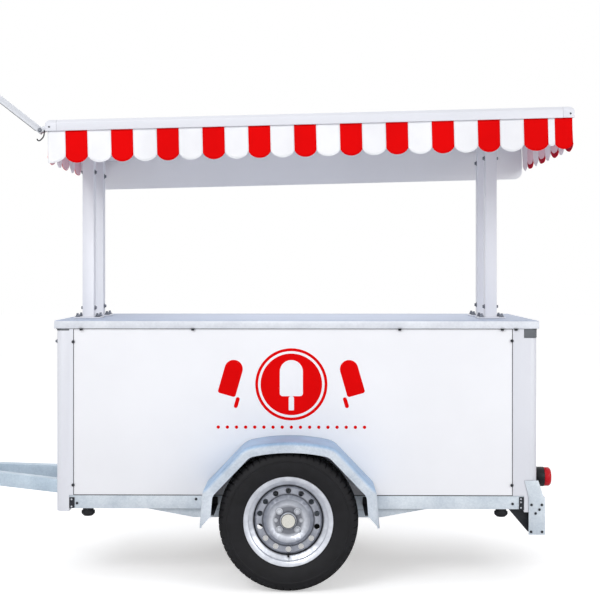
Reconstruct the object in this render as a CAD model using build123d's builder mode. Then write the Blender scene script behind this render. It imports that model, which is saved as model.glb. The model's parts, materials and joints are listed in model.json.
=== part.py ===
"""Ice cream trailer: a small single-axle vending trailer, parked on its wheels and jockey wheel."""

from build123d import *
from math import cos, radians, sin, tan
import os

os.makedirs("parts", exist_ok=True)

# Frame: millimetres, +Z up, ground at z = 0, the trailer's rear towards +X, the customer side towards -Y.
# An inset is measured inwards from an end of the body, and a drop downwards from the height named with it.

# Body box
body_length = 2000
body_width = 800
body_top = 1047
wall = 6
post_size = 55
post_wall = 3
post_round = 30
lip_thick = 3
front_lip = 17
rear_lip = 47
post_foot_z = 286
front_cap_height = 8
rear_cap_height = 38
cap_proud = 1.5

# Chassis
rail_bottom = 298
rail_height = 55.5
rail_width = 50
rail_wall = 3
cross_offset = 620
floor_thick = 12
foot_radius = 28
foot_stem_radius = 22
foot_stem_height = 12
foot_height = 34
foot_taper = 10
foot_front_inset = 130
foot_rear_inset = 147

# Counter: a sheet on a frame of channels, with two bearers under the roof posts
counter_over_x = 7
counter_over_y = 5
rim_height = 31
rim_width = 40
rim_wall = 2.5
sheet_height = 2
sheet_inset = 3

# Vendor side doors
sill_height = 76
header_height = 97
door_width = 478
door_gap = 5
door_thick = 20
door_round = 6
hinge_radius = 6
hinge_pin = 3
hinge_height = 60
hinge_plate = 2.5
hinge_leaf = 28
hinge_inset = 90
pin_play = 0.1
knuckle_gap = 0.5
handle_length = 110
handle_reach = 32
handle_bar = 10
handle_inset = 40

# Tyres
axle_offset = -30
tyre_radius = 283
tyre_width = 165
wheel_y = 525
bead_radius = 165.3
# Half of the tyre's section: each row is a share of the way from bead to tread, and of the half width
tyre_points = (
    (0, 0.715), (0.144, 0.8), (0.354, 0.95), (0.567, 1), (0.779, 0.95), (0.907, 0.836), (0.966, 0.703),
    (1, 0.242),
)
cavity_points = ((0.1, 0.58), (0.567, 0.87), (0.82, 0.7))

# Rims and hubs
rim_sheet = 4
rim_flange = 181
flange_half = 66
seat_radius = 165
seat_half = 60
well_radius = 146
well_outer = 28
well_inner = -18
hump_outer = 38
hump_inner = -32
disc_edge = 14
disc_face = 26
disc_ring_outer = 128
disc_ring_inner = 102
disc_bulge_radius = 86
disc_bulge = 45
disc_seat_radius = 67
disc_seat = 34
hole_count = 14
hole_radius = 11.5
hole_sides = 16
hole_circle = 118
centre_hole = 29
hub_radius = 34
hub_flange = 62
hub_flange_thick = 8
hub_inner = -56
cap_radius = 33
cap_reach = 56
cap_crown = 4
fit_gap = 0.5

# Axle
spindle_radius = 14
spindle_play = 0.05
spindle_past = 20
axle_tube = 50
axle_tube_wall = 4
axle_end_y = 410
arm_thick = 25
arm_lead = 139
arm_eye_radius = 20
brace_top = 1212
brace_bottom = 777
brace_shift = -9
brace_depth = 40
brace_thick = 6

# Mudguards
guard_offset = -25
guard_top = 604
guard_width = 220
guard_skin = 2.5
guard_flange = 42
guard_round = 18
crown_x = 180
crown_drop = 22
knee_x = 348
knee_drop = 197
tip_x = 360
tip_drop = 343
tip_rise = 46
crown_round = 90
knee_round = 40
stay_width = 36
stay_thick = 4
stay_low = 312
stay_high = 348
stay_x = 319

# Drawbar, coupling and jockey wheel
drawbar_rise = 3.9
drawbar_half_angle = 13.3
beam_width = 50
beam_height = 57
beam_wall = 5
beam_root_y = 192.6
beam_root_z = 356.5
beam_reach = 558
beam_spare = 20
bracket_plate = 6
bracket_width = 100
bracket_top = 455
nose_start = 470
nose_plate_start = 440
nose_plate_end = 600
nose_reach = 740
nose_width = 60
nose_plate = 6
coupling_x = 810
cup_radius = 38
cup_low = 12
cup_depth = 26
ball_radius = 25.4
head_root = 620
head_shell = 4
head_tail = 140
lever_root = 35
lever_boss = 70
lever_boss_width = 30
lever_length = 150
lever_width = 26
lever_thick = 10
jockey_x = 498
jockey_gap = 36.5
tube_radius = 24
tube_low = 370
tube_high = 780
tube_cap = 12
tube_cap_over = 3
tube_play = 0.3
leg_radius = 19
jockey_travel = 140
jockey_radius = 100
jockey_width = 48
jockey_trail = 45
jockey_head = 113
jockey_tread = 28
jockey_web = 28
jockey_hub_radius = 20
jockey_rim_radius = 64
jockey_shoulder = 96
jockey_draft = 2
jockey_axle = 8
fork_gap = 6
fork_plate = 5
fork_width = 44
fork_shift = 14
fork_crown = 8
fork_crown_radius = 30
fork_eye = 14
clamp_half = 24
clamp_low = 18
clamp_height = 40
clamp_past = 30
clamp_play = 0.2
crank_stem_radius = 8
crank_stem = 30
crank_arm = 110
crank_width = 24
crank_plate = 8
crank_grip_radius = 11
crank_grip = 80

# Roof
roof_length = 2116
roof_width = 1200
roof_offset = 54
roof_z = 1873
roof_tilt = 1.4
fascia_height = 45
fascia_width = 35
fascia_wall = 3
fascia_chamfer = 12
corner_block = 45
edge_play = 0.01
roof_sheet_low = 31
roof_sheet_thick = 3
roof_rib_low = 15
roof_rib_width = 20
roof_rib_count = 5
roof_beam_width = 50
roof_beam_height = 40
roof_beam_wall = 3
roof_post = 50
roof_post_wall = 3
roof_post_y = 130
front_post_inset = 92
rear_post_inset = 156
base_plate = 115
base_thick = 6

# Valances and back board
valance_drop = 128
valance_inset = 8
valance_thick = 3
scallop_depth = 26
scallop_share = 0.3
first_white = 71
stripe_red = 88.5
stripe_white = 95
seam_red = 97
seam_white = 26
end_scallops = 8
board_drop = 163
board_thick = 4
board_round = 40
board_inset = 28

# Roof arm
arm_length = 600
arm_size = 25
arm_tube_wall = 2
arm_tail = 10
arm_rise = 38
arm_pivot_out = 22
arm_pivot_up = 5
arm_pin = 5
ear_thick = 4
ear_gap = 1
ear_foot = 6
ear_height = 20

# Rear beam and lamps
rear_beam_low = 194
rear_beam_high = 350
rear_beam_gap = 1
rear_beam_depth = 30
rear_sheet = 3
side_plate = 4
side_plate_front = 37
flap_front = 54
flap_rise = 68
flap_back = 3
flap_foot = 25
gusset_front = 119
gusset_foot = 36
gusset_rise = 7
gusset_thick = 6
lamp_radius = 41
lamp_seat_radius = 32
lamp_seat_rise = 13
lamp_neck = 21
lamp_base = 47
lamp_lens = 30
lens_step = 1.5
lens_taper = 8
lamp_wall = 4
lamp_y = 290
lamp_z = 417

# Worked-out places
rise_sin = sin(radians(drawbar_rise))
rise_cos = cos(radians(drawbar_rise))
tilt_sin = sin(radians(roof_tilt))
tilt_cos = cos(radians(roof_tilt))
side_y = body_width / 2
end_x = body_length / 2
panel_y = side_y - lip_thick
front_wall_x = end_x - lip_thick
post_inner_x = end_x - post_size
post_inner_y = side_y - post_size
rail_top = rail_bottom + rail_height
frame_top = body_top + rim_height
counter_z = frame_top + sheet_height
front_post_x = -end_x + front_post_inset
rear_post_x = end_x - rear_post_inset
drawbar_root = front_wall_x + bracket_plate
front_reach = drawbar_root + (coupling_x + cup_radius) * rise_cos + cup_low * rise_sin
rear_reach = roof_offset + roof_length / 2 * tilt_cos
body_x = (front_reach - rear_reach) / 2
axle_x = body_x + axle_offset
axle_z = tyre_radius
roof_x = body_x + roof_offset

# The roof's own plane, at the underside of its fascia, and the drawbar's, at the middle of its beams
roof_plane = Plane(origin=(roof_x, 0, roof_z), x_dir=(tilt_cos, 0, tilt_sin), z_dir=(-tilt_sin, 0, tilt_cos))
drawbar_plane = Plane(
    origin=(body_x - drawbar_root, 0, beam_root_z),
    x_dir=(-rise_cos, 0, rise_sin),
    z_dir=(rise_sin, 0, rise_cos),
)


def box_between(low, high):
    """Add a box to the part being built, from its lowest to its highest corner."""
    size = [top - bottom for bottom, top in zip(low, high)]
    centre = [(top + bottom) / 2 for bottom, top in zip(low, high)]
    with Locations(tuple(centre)):
        Box(*size)


def channel(width, height, sheet, open_end):
    """Draw a channel's section about the middle of its outer size, open at its low or high end in x."""
    Rectangle(width, height)
    with Locations((open_end * sheet / 2, 0)):
        Rectangle(width - sheet, height - 2 * sheet, mode=Mode.SUBTRACT)


def tube_section(width, height, sheet):
    """Draw a rectangular tube's section."""
    Rectangle(width, height)
    Rectangle(width - 2 * sheet, height - 2 * sheet, mode=Mode.SUBTRACT)


def scallops(start, widths, drop):
    """Draw a strip of cloth that hangs from the line y = 0, with one round scallop below each stripe."""
    left = start
    edge = -drop + scallop_depth
    Line((start, 0), (start + sum(widths), 0))
    Line((start, 0), (start, edge))
    for width in widths:
        low = edge - min(scallop_depth, scallop_share * width)
        ThreePointArc((left, edge), (left + width / 2, low), (left + width, edge))
        left += width
    Line((left, edge), (left, 0))


# Chassis rails, open channels that face each other
with BuildPart() as chassis_rails:
    with BuildSketch(Plane.YZ.offset(body_x - post_inner_x)):
        with Locations((-panel_y + rail_width / 2, rail_bottom + rail_height / 2)):
            channel(rail_width, rail_height, rail_wall, 1)
    extrude(amount=2 * post_inner_x)
    mirror(about=Plane.XZ)
chassis_rails.part.label = "chassis_rails"
export_step(chassis_rails.part, "parts/chassis_rails.step")

# Cross members: each row is the middle of a tube, from the body's centre, and half its length
rail_inner_y = panel_y - rail_width
end_cross_x = front_wall_x - rail_width / 2
cross_rows = (
    (-end_cross_x, post_inner_y),
    (-cross_offset, rail_inner_y),
    (cross_offset, rail_inner_y),
    (end_cross_x, post_inner_y),
)
with BuildPart() as cross_members:
    for offset_x, half_length in cross_rows:
        with BuildSketch(Plane.XZ.offset(-half_length)):
            with Locations((body_x + offset_x, rail_bottom + rail_height / 2)):
                tube_section(rail_width, rail_height, rail_wall)
        extrude(amount=2 * half_length)
cross_members.part.label = "cross_members"
export_step(cross_members.part, "parts/cross_members.step")

# Rubber feet under the rails: a stem and a pad with a rounded underside
foot_places = [
    (body_x + foot_x, side * (panel_y - rail_width / 2))
    for foot_x in (-end_x + foot_front_inset, end_x - foot_rear_inset)
    for side in (-1, 1)
]
with BuildPart() as rubber_feet:
    with BuildSketch(Plane.XY.offset(rail_bottom)):
        with Locations(*foot_places):
            Circle(foot_stem_radius)
    extrude(amount=-foot_stem_height)
    with BuildSketch(Plane.XY.offset(rail_bottom - foot_stem_height)):
        with Locations(*foot_places):
            Circle(foot_radius)
    extrude(amount=foot_stem_height - foot_height)
    chamfer(rubber_feet.edges().group_by(Axis.Z)[0], foot_taper)
rubber_feet.part.label = "rubber_feet"
export_step(rubber_feet.part, "parts/rubber_feet.step")

# Axle braces, shallow plates below the rails, cut where the axle tube passes
axle_tube_x = axle_x - arm_lead
axle_tube_z = rail_bottom - axle_tube / 2
brace_x = axle_x + brace_shift
brace_y = panel_y - rail_width / 2
with BuildPart() as axle_braces:
    with BuildSketch(Plane.XZ.offset(brace_y - brace_thick / 2)):
        with BuildLine():
            Polyline(
                (brace_x - brace_top / 2, rail_bottom),
                (brace_x - brace_bottom / 2, rail_bottom - brace_depth),
                (brace_x + brace_bottom / 2, rail_bottom - brace_depth),
                (brace_x + brace_top / 2, rail_bottom),
                close=True,
            )
        make_face()
        with Locations((axle_tube_x, axle_tube_z)):
            Rectangle(axle_tube, axle_tube, mode=Mode.SUBTRACT)
    extrude(amount=brace_thick)
    mirror(about=Plane.XZ)
axle_braces.part.label = "axle_braces"
export_step(axle_braces.part, "parts/axle_braces.step")

# Axle beam: a square tube under the rails, with a trailing arm and a spindle at each end
spindle_end_y = wheel_y + spindle_past
with BuildPart() as axle_beam:
    with BuildSketch(Plane.XZ.offset(-axle_end_y)):
        with Locations((axle_tube_x, axle_tube_z)):
            tube_section(axle_tube, axle_tube, axle_tube_wall)
    extrude(amount=2 * axle_end_y)
    with BuildSketch(Plane.XZ.offset(axle_end_y)):
        with Locations((axle_tube_x, axle_tube_z)):
            Circle(axle_tube / 2)
        with Locations((axle_x, axle_z)):
            Circle(arm_eye_radius)
        make_hull()
    extrude(amount=arm_thick)
    with BuildSketch(Plane.XZ.offset(axle_end_y + arm_thick)):
        with Locations((axle_x, axle_z)):
            Circle(spindle_radius)
    extrude(amount=spindle_end_y - axle_end_y - arm_thick)
    mirror(about=Plane.XZ)
axle_beam.part.label = "axle_beam"
export_step(axle_beam.part, "parts/axle_beam.step")

# Floor, notched round the corner posts
floor_x = front_wall_x - wall
floor_y = panel_y - wall
with BuildPart() as floor_panel:
    with BuildSketch(Plane.XY.offset(rail_top)):
        with Locations((body_x, 0)):
            Rectangle(2 * floor_x, 2 * floor_y)
            with GridLocations(2 * floor_x, 2 * floor_y, 2, 2):
                Rectangle(2 * (floor_x - post_inner_x), 2 * (floor_y - post_inner_y), mode=Mode.SUBTRACT)
    extrude(amount=floor_thick)
floor_panel.part.label = "floor_panel"
export_step(floor_panel.part, "parts/floor_panel.step")

# Customer side panel, between the corner posts and behind their lips
with BuildPart() as side_panel:
    box_between(
        (body_x - post_inner_x, -panel_y, rail_top),
        (body_x + post_inner_x, -panel_y + wall, body_top),
    )
side_panel.part.label = "side_panel"
export_step(side_panel.part, "parts/side_panel.step")

# End walls
for name, end in (("front_wall", -1), ("rear_wall", 1)):
    with BuildPart() as end_wall:
        with BuildSketch(Plane.XY.offset(rail_top)):
            with Locations((body_x + end * (front_wall_x - wall / 2), 0)):
                Rectangle(wall, 2 * post_inner_y)
        extrude(amount=body_top - rail_top)
    end_wall.part.label = name
    export_step(end_wall.part, f"parts/{name}.step")

# Corner posts: round-cornered tubes with lips that cover the panels' edges.
# Each row is a name, the end it stands at, the width of its lip on the side and the height of its cap.
post_rows = (
    ("corner_posts_front", -1, front_lip, front_cap_height),
    ("corner_posts_rear", 1, rear_lip, rear_cap_height),
)
for name, end, lip, cap in post_rows:
    corner_x = body_x + end * end_x
    inner_x = body_x + end * post_inner_x
    with BuildPart() as corner_posts:
        with BuildSketch(Plane.XY.offset(post_foot_z)) as tube:
            with Locations((corner_x - end * post_size / 2, -side_y + post_size / 2)):
                Rectangle(post_size, post_size)
            fillet(tube.vertices().sort_by_distance((corner_x, -side_y, post_foot_z))[0], post_round)
            offset(amount=-post_wall, mode=Mode.SUBTRACT)
        extrude(amount=body_top - cap - post_foot_z)
        with BuildSketch(Plane.XY.offset(rail_top)):
            with Locations((inner_x - end * lip / 2, -side_y + lip_thick / 2)):
                Rectangle(lip, lip_thick)
            with Locations((corner_x - end * lip_thick / 2, -post_inner_y + front_lip / 2)):
                Rectangle(lip_thick, front_lip)
        extrude(amount=body_top - rail_top)
        mirror(about=Plane.XZ)
    corner_posts.part.label = name
    export_step(corner_posts.part, f"parts/{name}.step")

# Corner caps between the posts and the counter, a little proud of the posts
cap_size = post_size + cap_proud
with BuildPart() as corner_caps:
    for name, end, lip, cap in post_rows:
        corner_x = body_x + end * (end_x + cap_proud)
        corner_y = -side_y - cap_proud
        with BuildSketch(Plane.XY.offset(body_top - cap)) as block:
            with Locations((corner_x - end * cap_size / 2, corner_y + cap_size / 2)):
                Rectangle(cap_size, cap_size)
            fillet(block.vertices().sort_by_distance((corner_x, corner_y, body_top - cap))[0], post_round)
        extrude(amount=cap)
    mirror(about=Plane.XZ)
corner_caps.part.label = "corner_caps"
export_step(corner_caps.part, "parts/corner_caps.step")

# Vendor side: sill and header strips, and the plain panel between the two doors
sill_top = rail_top + sill_height
header_low = body_top - header_height
with BuildPart() as vendor_rails:
    for low, high in ((rail_top, sill_top), (header_low, body_top)):
        box_between(
            (body_x - post_inner_x, panel_y - wall, low),
            (body_x + post_inner_x, panel_y, high),
        )
vendor_rails.part.label = "vendor_rails"
export_step(vendor_rails.part, "parts/vendor_rails.step")

front_jamb = post_inner_x - front_lip
rear_jamb = post_inner_x - rear_lip
with BuildPart() as vendor_panel:
    box_between(
        (body_x - front_jamb + door_width + 2 * door_gap, panel_y - wall, sill_top),
        (body_x + rear_jamb - door_width - 2 * door_gap, panel_y, header_low),
    )
vendor_panel.part.label = "vendor_panel"
export_step(vendor_panel.part, "parts/vendor_panel.step")

# Vendor doors: each row is a name, the end it hangs from and the X of its jamb from the body's centre.
# The hinge pins stand outside the leaf, on the line of the gap.
door_rows = (("door_front", -1, -front_jamb), ("door_rear", 1, rear_jamb))
hinge_y = side_y + hinge_radius
door_low = sill_top + door_gap
door_high = header_low - door_gap
door_middle_z = (door_low + door_high) / 2
hinge_rise = (door_high - door_low) / 2 - hinge_inset
knuckle = (hinge_height - 4 * knuckle_gap) / 3
for name, end, jamb in door_rows:
    hinge_x = body_x + jamb - end * door_gap / 2
    leaf_x = body_x + jamb - end * (door_gap + door_width / 2)
    handle_x = body_x + jamb - end * (door_gap + door_width - handle_inset)
    with BuildPart() as door:
        with BuildSketch(Plane.XZ.offset(-panel_y)) as leaf:
            with Locations((leaf_x, door_middle_z)):
                Rectangle(door_width, door_high - door_low)
            fillet(leaf.vertices(), door_round)
        extrude(amount=door_thick)
        for rise in (-hinge_rise, hinge_rise):
            middle_z = door_middle_z + rise
            with BuildSketch(Plane.XY.offset(middle_z - knuckle / 2)):
                with Locations((hinge_x, hinge_y)):
                    Circle(hinge_radius)
                with Locations((hinge_x - end * hinge_leaf / 2, side_y + hinge_plate / 2)):
                    Rectangle(hinge_leaf, hinge_plate)
                with Locations((hinge_x, hinge_y)):
                    Circle(hinge_pin + pin_play, mode=Mode.SUBTRACT)
            extrude(amount=knuckle)
            with BuildSketch(Plane.XZ.offset(-panel_y)):
                with Locations((hinge_x - end * (hinge_leaf + door_gap) / 2, middle_z)):
                    Rectangle(hinge_leaf - door_gap, hinge_height)
            extrude(amount=-(side_y - panel_y + hinge_plate))
        with BuildSketch(Plane.XZ.offset(-panel_y - handle_reach)) as grip:
            with Locations((handle_x, door_middle_z)):
                Rectangle(handle_bar, handle_length)
        extrude(amount=handle_bar)
        with BuildSketch(Plane.XZ.offset(-panel_y - handle_reach + handle_bar)):
            with Locations((handle_x, door_middle_z)):
                with GridLocations(0, handle_length - handle_bar, 1, 2):
                    Rectangle(handle_bar, handle_bar)
        extrude(amount=handle_reach - handle_bar)
    door.part.label = name
    export_step(door.part, f"parts/{name}.step")

# The hinges' fixed halves, with their pins, on the corner posts
with BuildPart() as door_hinges:
    for name, end, jamb in door_rows:
        hinge_x = body_x + jamb - end * door_gap / 2
        plate_x = hinge_x + end * (hinge_radius + hinge_leaf) / 2
        for rise in (-hinge_rise, hinge_rise):
            middle_z = door_middle_z + rise
            for step in (-1, 1):
                low_z = middle_z + step * (knuckle + knuckle_gap) - knuckle / 2
                with BuildSketch(Plane.XY.offset(low_z)):
                    with Locations((hinge_x, hinge_y)):
                        Circle(hinge_radius)
                    with Locations((hinge_x + end * hinge_leaf / 2, side_y + hinge_plate / 2)):
                        Rectangle(hinge_leaf, hinge_plate)
                extrude(amount=knuckle)
            with BuildSketch(Plane.XY.offset(middle_z - hinge_height / 2)):
                with Locations((plate_x, side_y + hinge_plate / 2)):
                    Rectangle(hinge_leaf - hinge_radius, hinge_plate)
                with Locations((hinge_x, hinge_y)):
                    Circle(hinge_pin)
            extrude(amount=hinge_height)
door_hinges.part.label = "door_hinges"
export_step(door_hinges.part, "parts/door_hinges.step")

# Counter frame: channels that face inwards, mitred at the corners, and two bearers under the roof posts
rim_x = end_x + counter_over_x
rim_y = side_y + counter_over_y
rim_middle_z = body_top + rim_height / 2
near_corner_mitre = Plane(origin=(body_x + rim_x, -rim_y, 0), z_dir=(1, 1, 0))
far_corner_mitre = Plane(origin=(body_x - rim_x, -rim_y, 0), z_dir=(-1, 1, 0))
with BuildPart() as counter_sides:
    with BuildSketch(Plane.YZ.offset(body_x - rim_x)):
        with Locations((-rim_y + rim_width / 2, rim_middle_z)):
            channel(rim_width, rim_height, rim_wall, 1)
    extrude(amount=2 * rim_x)
    for mitre in (near_corner_mitre, far_corner_mitre):
        split(bisect_by=mitre, keep=Keep.BOTTOM)
    mirror(about=Plane.XZ)
counter_sides.part.label = "counter_sides"
export_step(counter_sides.part, "parts/counter_sides.step")

with BuildPart() as counter_ends:
    with BuildSketch(Plane.XZ):
        with Locations((body_x + rim_x - rim_width / 2, rim_middle_z)):
            channel(rim_width, rim_height, rim_wall, -1)
    extrude(amount=rim_y)
    split(bisect_by=near_corner_mitre, keep=Keep.TOP)
    mirror(about=Plane.XZ)
    mirror(about=Plane.YZ.offset(body_x))
counter_ends.part.label = "counter_ends"
export_step(counter_ends.part, "parts/counter_ends.step")

bearer_half = rim_y - rim_width
with BuildPart() as counter_bearers:
    for post_x in (front_post_x, rear_post_x):
        with BuildSketch(Plane.XZ.offset(-bearer_half)):
            with Locations((body_x + post_x, rim_middle_z)):
                tube_section(rim_width, rim_height, rim_wall)
        extrude(amount=2 * bearer_half)
counter_bearers.part.label = "counter_bearers"
export_step(counter_bearers.part, "parts/counter_bearers.step")

with BuildPart() as counter_top:
    with BuildSketch(Plane.XY.offset(frame_top)):
        with Locations((body_x, 0)):
            Rectangle(2 * (rim_x - sheet_inset), 2 * (rim_y - sheet_inset))
    extrude(amount=sheet_height)
counter_top.part.label = "counter_top"
export_step(counter_top.part, "parts/counter_top.step")

# Wheels: tyre, pierced rim and hub on each side, turned about the spindle.
# Their profiles are drawn as radius and distance outboard of the tyre's middle plane.


def tyre_section(points, radius, half):
    """Draw a closed section of the tyre from one half's points, each a share of the depth and half width."""
    depth = radius - bead_radius
    upper = [(bead_radius + share * depth, side * half) for share, side in points]
    lower = [(place, -side) for place, side in reversed(upper)]
    Polyline(*upper, *lower, close=True)


# The rim's barrel on its tyre side, from the outer flange to the inner one
barrel_path = (
    (rim_flange, flange_half), (seat_radius, seat_half), (seat_radius, hump_outer), (well_radius, well_outer),
    (well_radius, well_inner), (seat_radius, hump_inner), (seat_radius, -seat_half), (rim_flange, -flange_half),
)
# The rim's disc on its inboard side, from the barrel to the centre hole
disc_path = (
    (well_radius - rim_sheet / 2, 0), (well_radius - rim_sheet, disc_edge), (disc_ring_outer, disc_face),
    (disc_ring_inner, disc_face), (disc_bulge_radius, disc_bulge), (disc_seat_radius, disc_seat),
    (centre_hole, disc_seat),
)
disc_front = disc_seat + rim_sheet
hub_profile = (
    (spindle_radius + spindle_play, hub_inner), (hub_radius, hub_inner),
    (hub_radius, disc_seat - hub_flange_thick), (hub_flange, disc_seat - hub_flange_thick),
    (hub_flange, disc_seat), (centre_hole - fit_gap, disc_seat), (centre_hole - fit_gap, disc_front),
    (cap_radius, disc_front), (cap_radius, cap_reach - cap_crown), (cap_radius - cap_crown, cap_reach),
    (0, cap_reach), (0, spindle_past + cap_crown), (spindle_radius + spindle_play, spindle_past + cap_crown),
)
for name, side in (("near", -1), ("far", 1)):
    wheel_centre = (axle_x, side * wheel_y, axle_z)
    wheel_plane = Plane(origin=wheel_centre, x_dir=(1, 0, 0), z_dir=(0, side, 0))
    profile_plane = Plane(origin=wheel_centre, x_dir=(0, 0, 1), z_dir=(-side, 0, 0))
    spin_axis = Axis(wheel_centre, (0, 1, 0))
    with BuildPart() as tyre:
        with BuildSketch(profile_plane):
            with BuildLine():
                tyre_section(tyre_points, tyre_radius, tyre_width / 2)
            make_face()
            with BuildLine():
                tyre_section(cavity_points, tyre_radius, tyre_width / 2)
            make_face(mode=Mode.SUBTRACT)
        revolve(axis=spin_axis)
    tyre.part.label = f"tyre_{name}"
    export_step(tyre.part, f"parts/tyre_{name}.step")

    with BuildPart() as rim:
        with BuildSketch(profile_plane):
            for path in (barrel_path, disc_path):
                with BuildLine():
                    Polyline(*path)
                    offset(amount=rim_sheet, side=Side.RIGHT, kind=Kind.INTERSECTION)
                make_face()
        revolve(axis=spin_axis)
        with BuildSketch(wheel_plane.offset(disc_face - rim_sheet)):
            with PolarLocations(hole_circle, hole_count, start_angle=90):
                RegularPolygon(hole_radius, hole_sides)
        extrude(amount=3 * rim_sheet, mode=Mode.SUBTRACT)
    rim.part.label = f"rim_{name}"
    export_step(rim.part, f"parts/rim_{name}.step")

    with BuildPart() as hub:
        with BuildSketch(profile_plane):
            with BuildLine():
                Polyline(*hub_profile, close=True)
            make_face()
        revolve(axis=spin_axis)
    hub.part.label = f"hub_{name}"
    export_step(hub.part, f"parts/hub_{name}.step")

# Mudguards: an arched steel skin with a flange on the outer side, open below and to the body
guard_x = body_x + guard_offset


def guard_outline(longer):
    """Draw a mudguard's outline in the side view, its straight ends run on below the tips by this much."""
    foot_x = tip_x + longer * (tip_x - knee_x) / (tip_drop - knee_drop)
    foot_z = guard_top - tip_drop - longer
    Polyline(
        (guard_x - crown_x, guard_top - crown_drop),
        (guard_x - knee_x, guard_top - knee_drop),
        (guard_x - foot_x, foot_z),
        (guard_x + foot_x, foot_z),
        (guard_x + knee_x, guard_top - knee_drop),
        (guard_x + crown_x, guard_top - crown_drop),
    )
    ThreePointArc(
        (guard_x + crown_x, guard_top - crown_drop),
        (guard_x, guard_top),
        (guard_x - crown_x, guard_top - crown_drop),
    )


with BuildPart() as mudguard_near:
    with BuildSketch(Plane.XZ.offset(panel_y)) as arch:
        with BuildLine():
            guard_outline(0)
        make_face()
        fillet(arch.vertices().group_by(Axis.Y)[1], knee_round)
        fillet(arch.vertices().group_by(Axis.Y)[-1], crown_round)
    extrude(amount=guard_width)
    outer_face = mudguard_near.faces().sort_by(Axis.Y)[0]
    fillet(outer_face.edges().sort_by(Axis.Z)[1:], guard_round)
    under = mudguard_near.faces().sort_by(Axis.Z)[:1]
    body_side = mudguard_near.faces().sort_by(Axis.Y)[-1:]
    offset(amount=-guard_skin, openings=under + body_side)
    with BuildSketch(Plane.XZ.offset(panel_y + guard_width - 2 * guard_skin)) as window:
        with BuildLine():
            guard_outline(guard_flange + guard_skin)
        make_face()
        fillet(window.vertices().group_by(Axis.Y)[1], knee_round + guard_flange)
        fillet(window.vertices().group_by(Axis.Y)[-1], crown_round)
        offset(amount=-guard_flange)
        for end in (-1, 1):
            outer_x = guard_x + end * (tip_x - guard_skin)
            inner_x = guard_x + end * (tip_x - guard_flange - guard_skin)
            with BuildLine():
                Polyline(
                    (outer_x, guard_top - tip_drop - guard_skin),
                    (outer_x, guard_top - tip_drop),
                    (inner_x, guard_top - tip_drop + tip_rise),
                    (inner_x, guard_top - tip_drop - guard_skin),
                    close=True,
                )
            make_face()
    extrude(amount=3 * guard_skin, mode=Mode.SUBTRACT)
mudguard_near.part.label = "mudguard_near"
export_step(mudguard_near.part, "parts/mudguard_near.step")
with BuildPart() as mudguard_far:
    add(mirror(mudguard_near.part, about=Plane.XZ, mode=Mode.PRIVATE))
mudguard_far.part.label = "mudguard_far"
export_step(mudguard_far.part, "parts/mudguard_far.step")

# Mudguard stays: a plate on the rail and a strap out to the flange, inside each end of each guard
strap_y = -panel_y - guard_width + guard_skin
with BuildPart() as mudguard_stays:
    for place_x in (guard_x - stay_x, guard_x + stay_x):
        left = place_x - stay_width / 2
        right = place_x + stay_width / 2
        box_between((left, -panel_y - stay_thick, stay_low), (right, -panel_y, stay_high))
        box_between((left, strap_y, stay_low), (right, -panel_y - stay_thick, stay_low + stay_thick))
    mirror(about=Plane.XZ)
mudguard_stays.part.label = "mudguard_stays"
export_step(mudguard_stays.part, "parts/mudguard_stays.step")

# Drawbar beams: square tubes that close in towards the nose, cut square to the front wall
half_angle = radians(drawbar_half_angle)
beam_half = beam_width / 2 / cos(half_angle)
hollow_half = (beam_width / 2 - beam_wall) / cos(half_angle)
for name, side in (("drawbar_near", 1), ("drawbar_far", -1)):
    with BuildPart() as drawbar:
        for height, half, mode in (
            (beam_height, beam_half, Mode.ADD),
            (beam_height - 2 * beam_wall, hollow_half, Mode.SUBTRACT),
        ):
            root_y = beam_root_y + beam_spare * tan(half_angle)
            nose_y = beam_root_y - beam_reach * tan(half_angle)
            with BuildSketch(drawbar_plane.offset(-height / 2)):
                with BuildLine():
                    Polyline(
                        (-beam_spare, side * (root_y - half)),
                        (-beam_spare, side * (root_y + half)),
                        (beam_reach, side * (nose_y + half)),
                        (beam_reach, side * (nose_y - half)),
                        close=True,
                    )
                make_face()
            extrude(amount=height, mode=mode)
        split(bisect_by=Plane(origin=(body_x - drawbar_root, 0, 0), z_dir=(-1, 0, 0)), keep=Keep.TOP)
    drawbar.part.label = name
    export_step(drawbar.part, f"parts/{name}.step")

# Brackets that bolt the drawbar to the front wall and cross member
with BuildPart() as drawbar_brackets:
    for side in (-1, 1):
        box_between(
            (body_x - drawbar_root, side * beam_root_y - bracket_width / 2, rail_bottom),
            (body_x - front_wall_x, side * beam_root_y + bracket_width / 2, bracket_top),
        )
drawbar_brackets.part.label = "drawbar_brackets"
export_step(drawbar_brackets.part, "parts/drawbar_brackets.step")

# Nose: two plates between the beams' middle lines, and the tube that carries the coupling
plate_root_y = beam_root_y - nose_plate_start * tan(half_angle)
with BuildPart() as drawbar_nose:
    for low in (-beam_height / 2 - nose_plate, beam_height / 2):
        with BuildSketch(drawbar_plane.offset(low)):
            with BuildLine():
                Polyline(
                    (nose_plate_start, plate_root_y),
                    (nose_plate_end, nose_width / 2),
                    (nose_plate_end, -nose_width / 2),
                    (nose_plate_start, -plate_root_y),
                    close=True,
                )
            make_face()
        extrude(amount=nose_plate)
    for height, width, mode in (
        (beam_height, nose_width, Mode.ADD),
        (beam_height - 2 * beam_wall, nose_width - 2 * beam_wall, Mode.SUBTRACT),
    ):
        with BuildSketch(drawbar_plane.offset(-height / 2)):
            with Locations(((nose_start + nose_reach) / 2, 0)):
                Rectangle(nose_reach - nose_start, width)
        extrude(amount=height, mode=mode)
drawbar_nose.part.label = "drawbar_nose"
export_step(drawbar_nose.part, "parts/drawbar_nose.step")

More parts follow.
